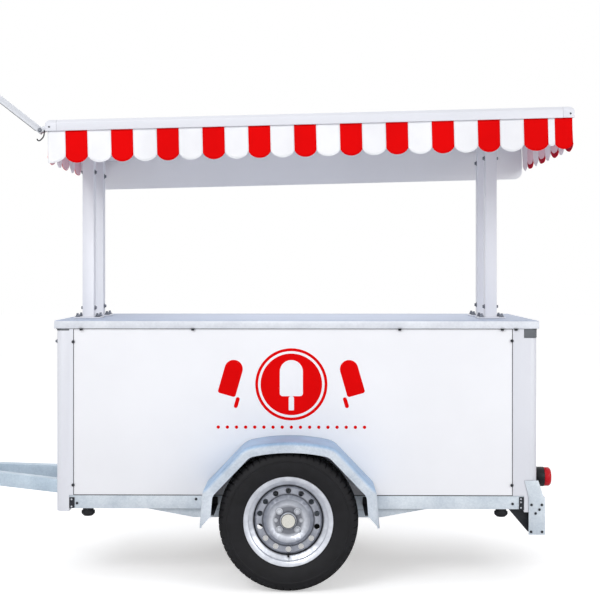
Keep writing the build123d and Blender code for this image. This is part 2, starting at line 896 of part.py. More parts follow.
# Coupling head: cheeks over the nose tube, tapering to the cup for the tow ball
head_top = beam_height / 2 + head_shell
with BuildPart() as coupling_head:
    with BuildSketch(drawbar_plane.offset(-cup_low)):
        with Locations((head_root + head_tail / 2, 0)):
            Rectangle(head_tail, nose_width + 2 * head_shell)
        with Locations((coupling_x, 0)):
            Circle(cup_radius)
        make_hull()
    extrude(amount=head_top + cup_low)
    with BuildSketch(drawbar_plane.offset(-cup_low - head_shell)):
        with Locations((nose_reach / 2, 0)):
            Rectangle(nose_reach, nose_width)
    extrude(amount=beam_height / 2 + cup_low + head_shell, mode=Mode.SUBTRACT)
    with BuildSketch(drawbar_plane.offset(-cup_low)):
        with Locations((coupling_x, 0)):
            Circle(ball_radius)
    extrude(amount=cup_depth, mode=Mode.SUBTRACT)
coupling_head.part.label = "coupling_head"
export_step(coupling_head.part, "parts/coupling_head.step")

# Coupling lever on top of the head
lever_x = coupling_x - lever_root / 2
with BuildPart() as coupling_lever:
    with BuildSketch(drawbar_plane.offset(head_top)):
        with Locations((lever_x - lever_root, 0)):
            Rectangle(lever_boss, lever_boss_width)
    extrude(amount=lever_thick)
    with BuildSketch(drawbar_plane.offset(head_top + lever_thick)):
        with Locations((lever_x - lever_length / 2, 0)):
            SlotOverall(lever_length, lever_width)
    extrude(amount=lever_thick)
coupling_lever.part.label = "coupling_lever"
export_step(coupling_lever.part, "parts/coupling_lever.step")

# Jockey wheel clamp on the side of the near beam
jockey_pivot_x = body_x - drawbar_root - jockey_x * rise_cos
beam_face = beam_root_y - jockey_x * tan(half_angle) + beam_half
jockey_y = -(beam_face + jockey_gap)
clamp_slope = clamp_half * tan(half_angle)
with BuildPart() as jockey_clamp:
    with BuildSketch(drawbar_plane.offset(-clamp_low)):
        with BuildLine():
            Polyline(
                (jockey_x - clamp_half, beam_face + clamp_slope),
                (jockey_x + clamp_half, beam_face - clamp_slope),
                (jockey_x + clamp_half, beam_face + jockey_gap + clamp_past),
                (jockey_x - clamp_half, beam_face + jockey_gap + clamp_past),
                close=True,
            )
        make_face()
    extrude(amount=clamp_height)
    with BuildSketch(Plane.XY.offset(tube_low)):
        with Locations((jockey_pivot_x, jockey_y)):
            Circle(tube_radius + clamp_play)
    extrude(amount=tube_high - tube_low, mode=Mode.SUBTRACT)
jockey_clamp.part.label = "jockey_clamp"
export_step(jockey_clamp.part, "parts/jockey_clamp.step")

# Jockey wheel: outer tube, crank, leg, fork and wheel
with BuildPart() as jockey_tube:
    with BuildSketch(Plane.XY.offset(tube_low)):
        with Locations((jockey_pivot_x, jockey_y)):
            Circle(tube_radius)
            Circle(leg_radius + tube_play, mode=Mode.SUBTRACT)
    extrude(amount=tube_high - tube_low)
    with BuildSketch(Plane.XY.offset(tube_high)):
        with Locations((jockey_pivot_x, jockey_y)):
            Circle(tube_radius + tube_cap_over)
    extrude(amount=tube_cap)
jockey_tube.part.label = "jockey_tube"
export_step(jockey_tube.part, "parts/jockey_tube.step")

crank_z = tube_high + tube_cap
with BuildPart() as jockey_crank:
    with BuildSketch(Plane.XY.offset(crank_z)):
        with Locations((jockey_pivot_x, jockey_y)):
            Circle(crank_stem_radius)
    extrude(amount=crank_stem)
    with BuildSketch(Plane.XY.offset(crank_z + crank_stem)):
        with Locations((jockey_pivot_x + crank_arm / 2, jockey_y)):
            SlotOverall(crank_arm + crank_width, crank_width)
    extrude(amount=crank_plate)
    with BuildSketch(Plane.XY.offset(crank_z + crank_stem + crank_plate)):
        with Locations((jockey_pivot_x + crank_arm, jockey_y)):
            Circle(crank_grip_radius)
    extrude(amount=crank_grip)
jockey_crank.part.label = "jockey_crank"
export_step(jockey_crank.part, "parts/jockey_crank.step")

crown_z = jockey_radius + jockey_head
with BuildPart() as jockey_leg:
    with BuildSketch(Plane.XY.offset(crown_z)):
        with Locations((jockey_pivot_x, jockey_y)):
            Circle(leg_radius)
    extrude(amount=tube_high - crown_z - jockey_travel - tube_cap)
jockey_leg.part.label = "jockey_leg"
export_step(jockey_leg.part, "parts/jockey_leg.step")

fork_half = jockey_width / 2 + fork_gap
jockey_axle_x = jockey_pivot_x + jockey_trail
fork_x = jockey_pivot_x + fork_shift
with BuildPart() as jockey_fork:
    with BuildSketch(Plane.XY.offset(crown_z - fork_crown)):
        with Locations((jockey_pivot_x, jockey_y)):
            Circle(fork_crown_radius)
        with Locations((fork_x, jockey_y)):
            Rectangle(fork_width, 2 * fork_half + 2 * fork_plate)
    extrude(amount=fork_crown - tube_play)
    for side in (-1, 1):
        with BuildSketch(Plane.XZ.offset(-jockey_y - side * fork_half - fork_plate / 2)):
            with Locations((jockey_axle_x, jockey_radius)):
                Circle(fork_eye)
            with Locations((fork_x, crown_z - fork_crown)):
                Rectangle(fork_width, fork_crown)
            make_hull()
        extrude(amount=fork_plate)
    with BuildSketch(Plane.XZ.offset(-jockey_y - fork_half)):
        with Locations((jockey_axle_x, jockey_radius)):
            Circle(jockey_axle)
    extrude(amount=2 * fork_half)
jockey_fork.part.label = "jockey_fork"
export_step(jockey_fork.part, "parts/jockey_fork.step")

wheel_middle = (jockey_axle_x, jockey_y, jockey_radius)
tread_side = jockey_width / 2 - jockey_draft
with BuildPart() as jockey_wheel:
    with BuildSketch(Plane(origin=wheel_middle, x_dir=(0, 0, 1), z_dir=(1, 0, 0))):
        with BuildLine():
            near_side = Polyline(
                (jockey_axle + pin_play, 0),
                (jockey_axle + pin_play, -jockey_width / 2),
                (jockey_hub_radius, -jockey_width / 2),
                (jockey_hub_radius, -jockey_web / 2),
                (jockey_rim_radius, -jockey_web / 2),
                (jockey_rim_radius, -tread_side),
                (jockey_radius - jockey_web / 2, -tread_side),
                (jockey_shoulder, -jockey_tread / 2),
                (jockey_radius, 0),
            )
            mirror(about=Plane.XZ)
        make_face()
    revolve(axis=Axis(wheel_middle, (0, 1, 0)))
jockey_wheel.part.label = "jockey_wheel"
export_step(jockey_wheel.part, "parts/jockey_wheel.step")

# Roof posts with welded base plates, cut to the slope of the roof beams
beam_low = roof_rib_low - roof_beam_height
with BuildPart() as roof_posts:
    for post_x in (front_post_x, rear_post_x):
        with BuildSketch(Plane.XY.offset(counter_z)):
            with Locations((body_x + post_x, -roof_post_y)):
                tube_section(roof_post, roof_post, roof_post_wall)
        extrude(amount=roof_z - counter_z)
        with BuildSketch(Plane.XY.offset(counter_z)):
            with Locations((body_x + post_x, -roof_post_y)):
                Rectangle(base_plate, base_plate)
        extrude(amount=base_thick)
    split(bisect_by=roof_plane.offset(beam_low), keep=Keep.BOTTOM)
    mirror(about=Plane.XZ)
roof_posts.part.label = "roof_posts"
export_step(roof_posts.part, "parts/roof_posts.step")

# Roof beams across the posts' tops, as tubes that run from fascia to fascia
inner_half_x = roof_length / 2 - fascia_width
inner_half_y = roof_width / 2 - fascia_width
beam_end = roof_plane.from_local_coords((0, inner_half_y, 0))
with BuildPart() as roof_beams:
    with BuildSketch(Plane(origin=beam_end, x_dir=roof_plane.x_dir, z_dir=(0, -1, 0))):
        for post_x in (front_post_x, rear_post_x):
            with Locations(((post_x - roof_offset) / tilt_cos, roof_rib_low - roof_beam_height / 2)):
                tube_section(roof_beam_width, roof_beam_height, roof_beam_wall)
    extrude(amount=2 * inner_half_y)
roof_beams.part.label = "roof_beams"
export_step(roof_beams.part, "parts/roof_beams.step")

# Roof panel, inside the fascia: a sheet with ribs along its underside that rest on the beams
rib_pitch = (2 * inner_half_y - roof_rib_width) / (roof_rib_count - 1)
with BuildPart() as roof_panel:
    with BuildSketch(roof_plane.offset(roof_sheet_low)):
        Rectangle(2 * inner_half_x, 2 * inner_half_y)
    extrude(amount=roof_sheet_thick)
    with BuildSketch(roof_plane.offset(roof_rib_low)):
        with GridLocations(0, rib_pitch, 1, roof_rib_count):
            Rectangle(2 * inner_half_x, roof_rib_width)
    extrude(amount=roof_sheet_low - roof_rib_low)
roof_panel.part.label = "roof_panel"
export_step(roof_panel.part, "parts/roof_panel.step")

# Fascia: four hollow strips with a chamfered outer edge, and a block at each corner
side_span = roof_length - 2 * corner_block
end_span = roof_width - 2 * corner_block


def fascia_profile(outer, side, sheet):
    """Draw the fascia's section with its outer face at side times outer, shrunk all round by sheet."""
    face = outer - sheet
    back = outer - fascia_width + sheet
    top = fascia_height - sheet
    Polyline(
        (side * back, sheet),
        (side * face, sheet),
        (side * face, top - fascia_chamfer),
        (side * (face - fascia_chamfer), top),
        (side * back, top),
        close=True,
    )


side_corner = roof_plane.from_local_coords((-side_span / 2, 0, 0))
end_corner = roof_plane.from_local_coords((0, end_span / 2, 0))
# Each row is a name, the plane of the section, half the roof's size across it and the strip's length
fascia_rows = (
    ("fascia_sides", Plane(origin=side_corner, x_dir=(0, 1, 0), z_dir=roof_plane.x_dir), roof_width / 2, side_span),
    ("fascia_ends", Plane(origin=end_corner, x_dir=roof_plane.x_dir, z_dir=(0, -1, 0)), roof_length / 2, end_span),
)
for name, section_plane, outer, span in fascia_rows:
    with BuildPart() as fascia:
        with BuildSketch(section_plane):
            for side in (-1, 1):
                for sheet, mode in ((0, Mode.ADD), (fascia_wall, Mode.SUBTRACT)):
                    with BuildLine():
                        fascia_profile(outer, side, sheet)
                    make_face(mode=mode)
        extrude(amount=span)
    fascia.part.label = name
    export_step(fascia.part, f"parts/{name}.step")

with BuildPart() as fascia_corners:
    with BuildSketch(roof_plane):
        with GridLocations(roof_length - corner_block, roof_width - corner_block, 2, 2):
            Rectangle(corner_block, corner_block)
        Rectangle(2 * inner_half_x, 2 * inner_half_y, mode=Mode.SUBTRACT)
    extrude(amount=fascia_height)
    outer_edges = []
    for edge in fascia_corners.edges():
        middle = roof_plane.to_local_coords(edge.center())
        at_end = abs(abs(middle.X) - roof_length / 2) < edge_play
        at_side = abs(abs(middle.Y) - roof_width / 2) < edge_play
        if (at_end or at_side) and abs(middle.Z - fascia_height) < edge_play:
            outer_edges.append(edge)
    chamfer(outer_edges, fascia_chamfer)
fascia_corners.part.label = "fascia_corners"
export_step(fascia_corners.part, "parts/fascia_corners.step")

# Near valance, a scalloped strip of coloured stripes: as many pairs as fit, then the seam and a last stripe
valance_length = roof_length - 2 * valance_inset
valance_y = roof_width / 2 - valance_inset
pair_width = stripe_red + stripe_white
pair_room = valance_length - first_white - seam_red - seam_white
stripe_pairs = int(pair_room // pair_width)
last_red = pair_room - stripe_pairs * pair_width
near_widths = [first_white] + [stripe_red, stripe_white] * stripe_pairs + [seam_red, seam_white, last_red]
near_edge = Plane(
    origin=roof_plane.from_local_coords((0, -valance_y, 0)),
    x_dir=roof_plane.x_dir,
    z_dir=(0, -1, 0),
)
with BuildPart() as valance_near:
    with BuildSketch(near_edge):
        with BuildLine():
            scallops(-valance_length / 2, near_widths, valance_drop)
        make_face()
    extrude(amount=-valance_thick)
valance_near.part.label = "valance_near"
export_step(valance_near.part, "parts/valance_near.step")

# End valances, from the near valance to the back board
board_y = roof_width / 2 - board_inset
end_span_y = valance_y - valance_thick + board_y
end_widths = [end_span_y / end_scallops] * end_scallops
with BuildPart() as valance_ends:
    for end in (-1, 1):
        edge_x = end * valance_length / 2
        corner = roof_plane.from_local_coords((edge_x, -valance_y + valance_thick, 0))
        end_plane = Plane(origin=corner, x_dir=(0, 1, 0), z_dir=roof_plane.x_dir)
        with BuildSketch(end_plane):
            with BuildLine():
                scallops(0, end_widths, valance_drop)
            make_face()
        extrude(amount=-end * valance_thick)
valance_ends.part.label = "valance_ends"
export_step(valance_ends.part, "parts/valance_ends.step")

# Back board, with rounded lower corners
board_plane = Plane(
    origin=roof_plane.from_local_coords((0, board_y, 0)),
    x_dir=roof_plane.x_dir,
    z_dir=(0, -1, 0),
)
with BuildPart() as back_board:
    with BuildSketch(board_plane) as board:
        with Locations((0, -board_drop / 2)):
            Rectangle(valance_length - 2 * valance_thick, board_drop)
        fillet(board.vertices().group_by(Axis.Y)[0], board_round)
    extrude(amount=-board_thick)
back_board.part.label = "back_board"
export_step(back_board.part, "parts/back_board.step")

# Roof arm at the front near corner, a square tube hinged in front of the corner block, with its bracket
corner_y = roof_width / 2 - corner_block / 2
pivot = roof_plane.from_local_coords((-roof_length / 2 - arm_pivot_out, -corner_y, arm_pivot_up))
arm_angle = radians(arm_rise)
arm_direction = (-cos(arm_angle), 0, sin(arm_angle))
arm_foot = (pivot.X + arm_tail * cos(arm_angle), pivot.Y, pivot.Z - arm_tail * sin(arm_angle))
with BuildPart() as roof_arm:
    with BuildSketch(Plane(origin=arm_foot, x_dir=(0, 1, 0), z_dir=arm_direction)):
        tube_section(arm_size, arm_size, arm_tube_wall)
    extrude(amount=arm_tail + arm_length)
    with BuildSketch(Plane(origin=pivot, x_dir=arm_direction, z_dir=(0, 1, 0))):
        Circle(arm_pin + pin_play)
    extrude(amount=arm_size / 2, both=True, mode=Mode.SUBTRACT)
roof_arm.part.label = "roof_arm"
export_step(roof_arm.part, "parts/roof_arm.step")

ear_half = arm_size / 2 + ear_gap
ear_plane = Plane(origin=pivot, x_dir=roof_plane.x_dir, z_dir=(0, -1, 0))
with BuildPart() as arm_bracket:
    for low in (-ear_half - ear_thick, ear_half):
        with BuildSketch(ear_plane.offset(low)):
            Circle(2 * arm_pin)
            with Locations((arm_pivot_out - ear_foot / 2, ear_height / 2 - arm_pivot_up + fit_gap)):
                Rectangle(ear_foot, ear_height)
            make_hull()
        extrude(amount=ear_thick)
    with BuildSketch(ear_plane.offset(-ear_half)):
        Circle(arm_pin)
    extrude(amount=2 * ear_half)
arm_bracket.part.label = "arm_bracket"
export_step(arm_bracket.part, "parts/arm_bracket.step")

# Rear beam behind the body, a channel open to the front
beam_front_x = body_x + end_x + rear_beam_gap
beam_back_x = beam_front_x + rear_beam_depth
rear_beam_size = rear_beam_high - rear_beam_low
with BuildPart() as rear_beam:
    with BuildSketch(Plane.XZ.offset(-side_y)):
        with Locations(((beam_front_x + beam_back_x) / 2, (rear_beam_low + rear_beam_high) / 2)):
            channel(rear_beam_depth, rear_beam_size, rear_sheet, -1)
    extrude(amount=2 * side_y)
rear_beam.part.label = "rear_beam"
export_step(rear_beam.part, "parts/rear_beam.step")

# Its side plates: a plate over each end of the beam, with a flap that rises on the corner post
body_end_x = body_x + end_x
with BuildPart() as rear_side_plates:
    with BuildSketch(Plane.XZ.offset(side_y)):
        with BuildLine():
            Polyline(
                (body_end_x - flap_front, rear_beam_high + flap_rise),
                (body_end_x + flap_back, rear_beam_high + flap_rise),
                (body_end_x + flap_foot, rear_beam_high),
                (beam_back_x, rear_beam_high),
                (beam_back_x, rear_beam_low),
                (body_end_x - side_plate_front, rear_beam_low),
                (body_end_x - side_plate_front, rear_beam_high),
                close=True,
            )
        make_face()
    extrude(amount=side_plate)
    mirror(about=Plane.XZ)
rear_side_plates.part.label = "rear_side_plates"
export_step(rear_side_plates.part, "parts/rear_side_plates.step")

# Gussets under the rails that carry the rear beam
with BuildPart() as rear_gussets:
    with BuildSketch(Plane.XZ.offset(brace_y - gusset_thick / 2)):
        with BuildLine():
            Polyline(
                (body_end_x - gusset_front, rail_bottom),
                (body_x + post_inner_x, rail_bottom),
                (body_x + post_inner_x, post_foot_z),
                (beam_front_x, post_foot_z),
                (beam_front_x, rear_beam_low + gusset_rise),
                (body_end_x - gusset_foot, rear_beam_low + gusset_rise),
                close=True,
            )
        make_face()
    extrude(amount=gusset_thick)
    mirror(about=Plane.XZ)
rear_gussets.part.label = "rear_gussets"
export_step(rear_gussets.part, "parts/rear_gussets.step")

# Rear lamps: a housing that drops and widens from its seat on the wall, and a round lens
wall_face_x = body_x + front_wall_x
with BuildPart() as lamp_bases:
    for side in (-1, 1):
        with BuildSketch(Plane.YZ.offset(wall_face_x)):
            with Locations((side * lamp_y, lamp_z + lamp_seat_rise)):
                Circle(lamp_seat_radius)
        with BuildSketch(Plane.YZ.offset(wall_face_x + lamp_neck)):
            with Locations((side * lamp_y, lamp_z)):
                Circle(lamp_radius)
        loft()
    with BuildSketch(Plane.YZ.offset(wall_face_x + lamp_neck)):
        with Locations((-lamp_y, lamp_z), (lamp_y, lamp_z)):
            Circle(lamp_radius)
    extrude(amount=lamp_base - lamp_neck)
    with BuildSketch(Plane.YZ.offset(wall_face_x + lamp_base)):
        with Locations((-lamp_y, lamp_z), (lamp_y, lamp_z)):
            Circle(lamp_radius - lamp_wall)
    extrude(amount=lamp_neck - lamp_base, mode=Mode.SUBTRACT)
lamp_bases.part.label = "lamp_bases"
export_step(lamp_bases.part, "parts/lamp_bases.step")

with BuildPart() as lamp_lenses:
    with BuildSketch(Plane.YZ.offset(wall_face_x + lamp_base)):
        with Locations((-lamp_y, lamp_z), (lamp_y, lamp_z)):
            Circle(lamp_radius - lens_step)
    extrude(amount=lamp_lens)
    chamfer(lamp_lenses.edges().group_by(Axis.X)[-1], lens_taper)
    with BuildSketch(Plane.YZ.offset(wall_face_x + lamp_base)):
        with Locations((-lamp_y, lamp_z), (lamp_y, lamp_z)):
            Circle(lamp_radius - lens_step - lens_taper)
    extrude(amount=lamp_lens - lamp_wall, mode=Mode.SUBTRACT)
lamp_lenses.part.label = "lamp_lenses"
export_step(lamp_lenses.part, "parts/lamp_lenses.step")
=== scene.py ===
"""Ice cream trailer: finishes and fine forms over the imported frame, with its camera, light and floor."""

import json

import bmesh
import bpy
import numpy as np
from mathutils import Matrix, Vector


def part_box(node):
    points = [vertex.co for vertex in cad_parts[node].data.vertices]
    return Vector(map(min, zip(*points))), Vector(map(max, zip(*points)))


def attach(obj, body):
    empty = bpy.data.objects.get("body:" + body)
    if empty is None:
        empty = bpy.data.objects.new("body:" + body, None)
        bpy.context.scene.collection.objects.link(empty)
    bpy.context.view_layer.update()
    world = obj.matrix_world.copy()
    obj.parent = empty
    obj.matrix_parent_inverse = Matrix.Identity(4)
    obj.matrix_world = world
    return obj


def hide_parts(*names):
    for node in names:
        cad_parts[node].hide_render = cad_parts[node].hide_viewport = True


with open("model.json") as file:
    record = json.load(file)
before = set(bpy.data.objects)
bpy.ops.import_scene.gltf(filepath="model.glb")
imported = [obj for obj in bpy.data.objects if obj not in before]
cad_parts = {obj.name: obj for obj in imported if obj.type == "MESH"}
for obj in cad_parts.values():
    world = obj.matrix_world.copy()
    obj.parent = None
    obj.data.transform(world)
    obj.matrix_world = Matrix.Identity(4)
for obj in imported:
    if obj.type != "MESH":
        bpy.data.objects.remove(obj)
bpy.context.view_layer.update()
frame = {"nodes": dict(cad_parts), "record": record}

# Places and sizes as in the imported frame, in metres: +X rear, -Y customer side, +Z up, ground at z = 0
panel_low, panel_high = (np.array(corner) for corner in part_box("side_panel"))
body_x = (panel_low[0] + panel_high[0]) / 2
roof_tilt = np.radians(1.4)
roof_origin = np.array([body_x + 0.054, 0, 1.873])
roof_length = 2.116
roof_width = 1.2
axle = np.array([body_x - 0.030, 0, 0.283])
wheel_y = 0.525


def linear(red, green, blue):
    """Turn a screen colour from 0 to 255 into the linear colour that a shader takes.

    The darkest tones are divided by 12.92, and all others follow a power of 2.4."""
    share = np.array([red, green, blue]) / 255
    return (*np.where(share <= 0.04045, share / 12.92, ((share + 0.055) / 1.055) ** 2.4), 1.0)


# Finishes

# The Mix node's colour sockets by number, because those of its other types have the same names
mix_first, mix_second, mix_result = 6, 7, 2


class Finish:
    """A material with one shader, whose patterns come from the piece's own object coordinates."""

    def __init__(self, name, colour, roughness, metallic=0.0, specular=0.5):
        self.material = bpy.data.materials.new(name)
        self.material.use_nodes = True
        self.tree = self.material.node_tree
        self.shader = self.tree.nodes["Principled BSDF"]
        self.shader.inputs["Base Color"].default_value = linear(*colour)
        self.shader.inputs["Roughness"].default_value = roughness
        self.shader.inputs["Metallic"].default_value = metallic
        self.shader.inputs["Specular IOR Level"].default_value = specular
        self.place = self.tree.nodes.new("ShaderNodeTexCoord").outputs["Object"]

    def node(self, kind, **values):
        """Add a node; a value names one of its input sockets with underscores for spaces, or its property."""
        made = self.tree.nodes.new(kind)
        for name, value in values.items():
            socket = made.inputs.get(name.replace("_", " ").title())
            if socket is None:
                setattr(made, name, value)
            elif isinstance(value, bpy.types.NodeSocket):
                self.tree.links.new(value, socket)
            else:
                socket.default_value = value
        return made

    def stretched(self, scale):
        """The object coordinates times scale on each axis."""
        return self.node("ShaderNodeMapping", vector=self.place, scale=scale).outputs["Vector"]

    def noise(self, scale, detail=4.0, vector=None):
        """Cloudy values from 0 to 1, scale cells to a metre."""
        made = self.node("ShaderNodeTexNoise", scale=scale, detail=detail)
        self.tree.links.new(vector or self.place, made.inputs["Vector"])
        return made.outputs["Fac"]

    def reckoned(self, operation, first, second=None):
        """A value worked out from one or two others, each a socket or a number."""
        made = self.node("ShaderNodeMath", operation=operation)
        for socket, value in zip(made.inputs, (first, second)):
            if isinstance(value, bpy.types.NodeSocket):
                self.tree.links.new(value, socket)
            elif value is not None:
                socket.default_value = value
        return made.outputs["Value"]

    def spread(self, value, low, high):
        """Map a value from 0 to 1 onto the range low to high."""
        made = self.node("ShaderNodeMapRange", value=value, to_min=low, to_max=high)
        return made.outputs["Result"]

    def between(self, value, first, second, low=0.35, high=0.65):
        """A colour that runs from first to second as value goes from low to high."""
        made = self.node("ShaderNodeValToRGB", fac=value)
        ends = made.color_ramp.elements
        ends[0].position, ends[0].color = low, linear(*first)
        ends[1].position, ends[1].color = high, linear(*second)
        return made.outputs["Color"]

    def product(self, first, second):
        """One colour times another, or times a value."""
        made = self.node("ShaderNodeMix", data_type="RGBA", blend_type="MULTIPLY")
        made.inputs["Factor"].default_value = 1.0
        self.tree.links.new(first, made.inputs[mix_first])
        self.tree.links.new(second, made.inputs[mix_second])
        return made.outputs[mix_result]

    def crease_shaded(self, colour, reach, least):
        """A colour times painted shade: its light falls to least in creases, where a surface lies within
        reach.
        """
        open_share = self.node("ShaderNodeAmbientOcclusion", distance=reach, samples=8)
        return self.product(colour, self.spread(open_share.outputs["AO"], least, 1.0))

    def paint(self, socket, value):
        """Feed one of the shader's inputs."""
        self.tree.links.new(value, self.shader.inputs[socket])

    def relief(self, height, depth, strength=0.5):
        """Bump of the given depth in metres from a height from 0 to 1."""
        made = self.node("ShaderNodeBump", height=height, distance=depth, strength=strength)
        self.paint("Normal", made.outputs["Normal"])


def shaded(colour, share):
    """A screen colour times a share of its light."""
    return tuple(np.clip(np.array(colour) * share, 0, 255))


def painted(name, colour, roughness, peel=0.00004, specular=0.5, reach=0.0, least=0.5):
    """Paint: a faint orange-peel relief and a slow drift of tone, and painted shade in its creases where it
    has a reach.
    """
    finish = Finish(name, colour, roughness, specular=specular)
    tone = finish.between(finish.noise(2.5), shaded(colour, 0.985), colour)
    if reach:
        tone = finish.crease_shaded(tone, reach, least)
    finish.paint("Base Color", tone)
    finish.paint("Roughness", finish.spread(finish.noise(9.0), roughness - 0.05, roughness + 0.08))
    finish.relief(finish.noise(420.0, 2.0), peel)
    return finish.material


def ring_shaded_wheel(name, rings, roughness=0.34, metallic=0.55):
    """Silver paint with painted shade in rings: tones by distance from the axle, darkest in the grooves
    beside the ring of holes and dark in the dish; each row is a radius and a tone.
    """
    finish = Finish(name, rings[-1][1], roughness, metallic)
    spot = finish.node("ShaderNodeSeparateXYZ", vector=finish.place)
    along = finish.reckoned("SUBTRACT", spot.outputs["X"], axle[0])
    up = finish.reckoned("SUBTRACT", spot.outputs["Z"], axle[2])
    squares = [finish.reckoned("POWER", step, 2.0) for step in (along, up)]
    radius = finish.reckoned("SQRT", finish.reckoned("ADD", *squares))
    outer = rings[-1][0]
    ramp = finish.node("ShaderNodeValToRGB", fac=finish.reckoned("DIVIDE", radius, outer))
    while len(ramp.color_ramp.elements) < len(rings):
        ramp.color_ramp.elements.new(1.0)
    for stop, (reach, tone) in zip(ramp.color_ramp.elements, rings):
        stop.position, stop.color = reach / outer, linear(*tone)
    film = finish.between(finish.noise(35.0, 5.0), (232, 232, 234), (255, 255, 255))
    # Painted shade: the ring tones, and the shade in creases over them
    finish.paint("Base Color", finish.crease_shaded(finish.product(ramp.outputs["Color"], film), 0.009, 0.1))
    finish.relief(finish.noise(420.0, 2.0), 0.00002)
    return finish.material


def zinc_dipped(name, dark, light, roughness=0.42, metallic=0.35, reach=0.02, least=0.4, top=None):
    """Hot-dip zinc: small crystal cells of near tones under slow clouds, painted shade in its creases, and,
    where a top tone is given, a painted reflection on faces that look up.
    """
    finish = Finish(name, light, roughness, metallic)
    cells = finish.node("ShaderNodeTexVoronoi", vector=finish.place, scale=160.0)
    tone = finish.node("ShaderNodeSeparateColor", color=cells.outputs["Color"]).outputs["Red"]
    clouds = finish.noise(9.0, 6.0)
    mixed = finish.reckoned("ADD", finish.spread(tone, 0.0, 0.14), finish.spread(clouds, 0.0, 0.86))
    colour = finish.between(mixed, dark, light, 0.3, 0.7)
    # Painted reflection: faces that look up take the top tone
    if top:
        normal = finish.tree.nodes.new("ShaderNodeTexCoord").outputs["Normal"]
        upward = finish.node("ShaderNodeSeparateXYZ", vector=normal).outputs["Z"]
        share = tuple(np.clip(np.array(top) / np.array(light), 0, 1) * 255)
        colour = finish.product(colour, finish.between(upward, (255, 255, 255), share, 0.15, 0.6))
    finish.paint("Base Color", finish.crease_shaded(colour, reach, least))
    finish.paint("Roughness", finish.spread(tone, roughness - 0.06, roughness + 0.06))
    finish.relief(clouds, 0.0006, 0.3)
    return finish.material


def brushed(name, dark, light, stretch, roughness=0.36, metallic=0.6, specular=0.5):
    """Rolled sheet: fine lines along one axis."""
    finish = Finish(name, light, roughness, metallic, specular)
    lines = finish.noise(1.0, 5.0, finish.stretched(stretch))
    finish.paint("Base Color", finish.between(lines, dark, light))
    finish.paint("Roughness", finish.spread(lines, roughness - 0.08, roughness + 0.1))
    finish.relief(lines, 0.00005, 0.3)
    return finish.material


def moulded(name, colour, roughness, grain=600.0, depth=0.0001, mottle=0.8, specular=0.3):
    """Moulded rubber or plastic: a fine grain and a little dust in the tone."""
    finish = Finish(name, colour, roughness, specular=specular)
    finish.paint("Base Color", finish.between(finish.noise(18.0, 5.0), shaded(colour, mottle), colour))
    finish.paint("Roughness", finish.spread(finish.noise(30.0), roughness - 0.06, roughness + 0.06))
    finish.relief(finish.noise(grain, 2.0), depth)
    return finish.material


def woven(name, tones):
    """Coated cloth: a plain weave on its own map, in the tone that the stripe attribute, 0 to 1, picks."""
    finish = Finish(name, tones[0], 0.8, specular=0.08)
    picker = finish.node("ShaderNodeValToRGB")
    ramp = picker.color_ramp
    ramp.interpolation = "CONSTANT"
    while len(ramp.elements) < len(tones):
        ramp.elements.new(1.0)
    for step, tone in enumerate(tones):
        ramp.elements[step].position = max(0.0, (step - 0.5) / (len(tones) - 1))
        ramp.elements[step].color = linear(*tone)
    stripe = finish.node("ShaderNodeAttribute", attribute_name="stripe")
    finish.tree.links.new(stripe.outputs["Fac"], picker.inputs["Fac"])
    drift = finish.between(finish.noise(6.0), (246, 246, 247), (255, 255, 255))
    finish.paint("Base Color", finish.product(picker.outputs["Color"], drift))
    flat_map = finish.node("ShaderNodeUVMap")
    threads = []
    for direction in ("X", "Y"):
        wave = finish.node("ShaderNodeTexWave", scale=260.0, bands_direction=direction)
        finish.tree.links.new(flat_map.outputs["UV"], wave.inputs["Vector"])
        threads.append(wave.outputs["Fac"])
    finish.relief(finish.reckoned("MAXIMUM", *threads), 0.0002, 0.4)
    return finish.material


# Painted shade in rings about the axle: the grooves beside the ring of holes are darkest, the dish is dark,
# and the lip has the silver's own tone
dish_shade, groove_shade, hole_ring, lip_tone = (132, 135, 143), (76, 78, 86), (168, 172, 182), (226, 230, 238)
shade_rings = (
    (0.0, dish_shade), (0.053, dish_shade), (0.066, lip_tone), (0.083, hole_ring), (0.099, hole_ring), (0.104, groove_shade),
    (0.109, hole_ring), (0.135, hole_ring), (0.140, groove_shade), (0.147, lip_tone), (0.166, lip_tone),
)
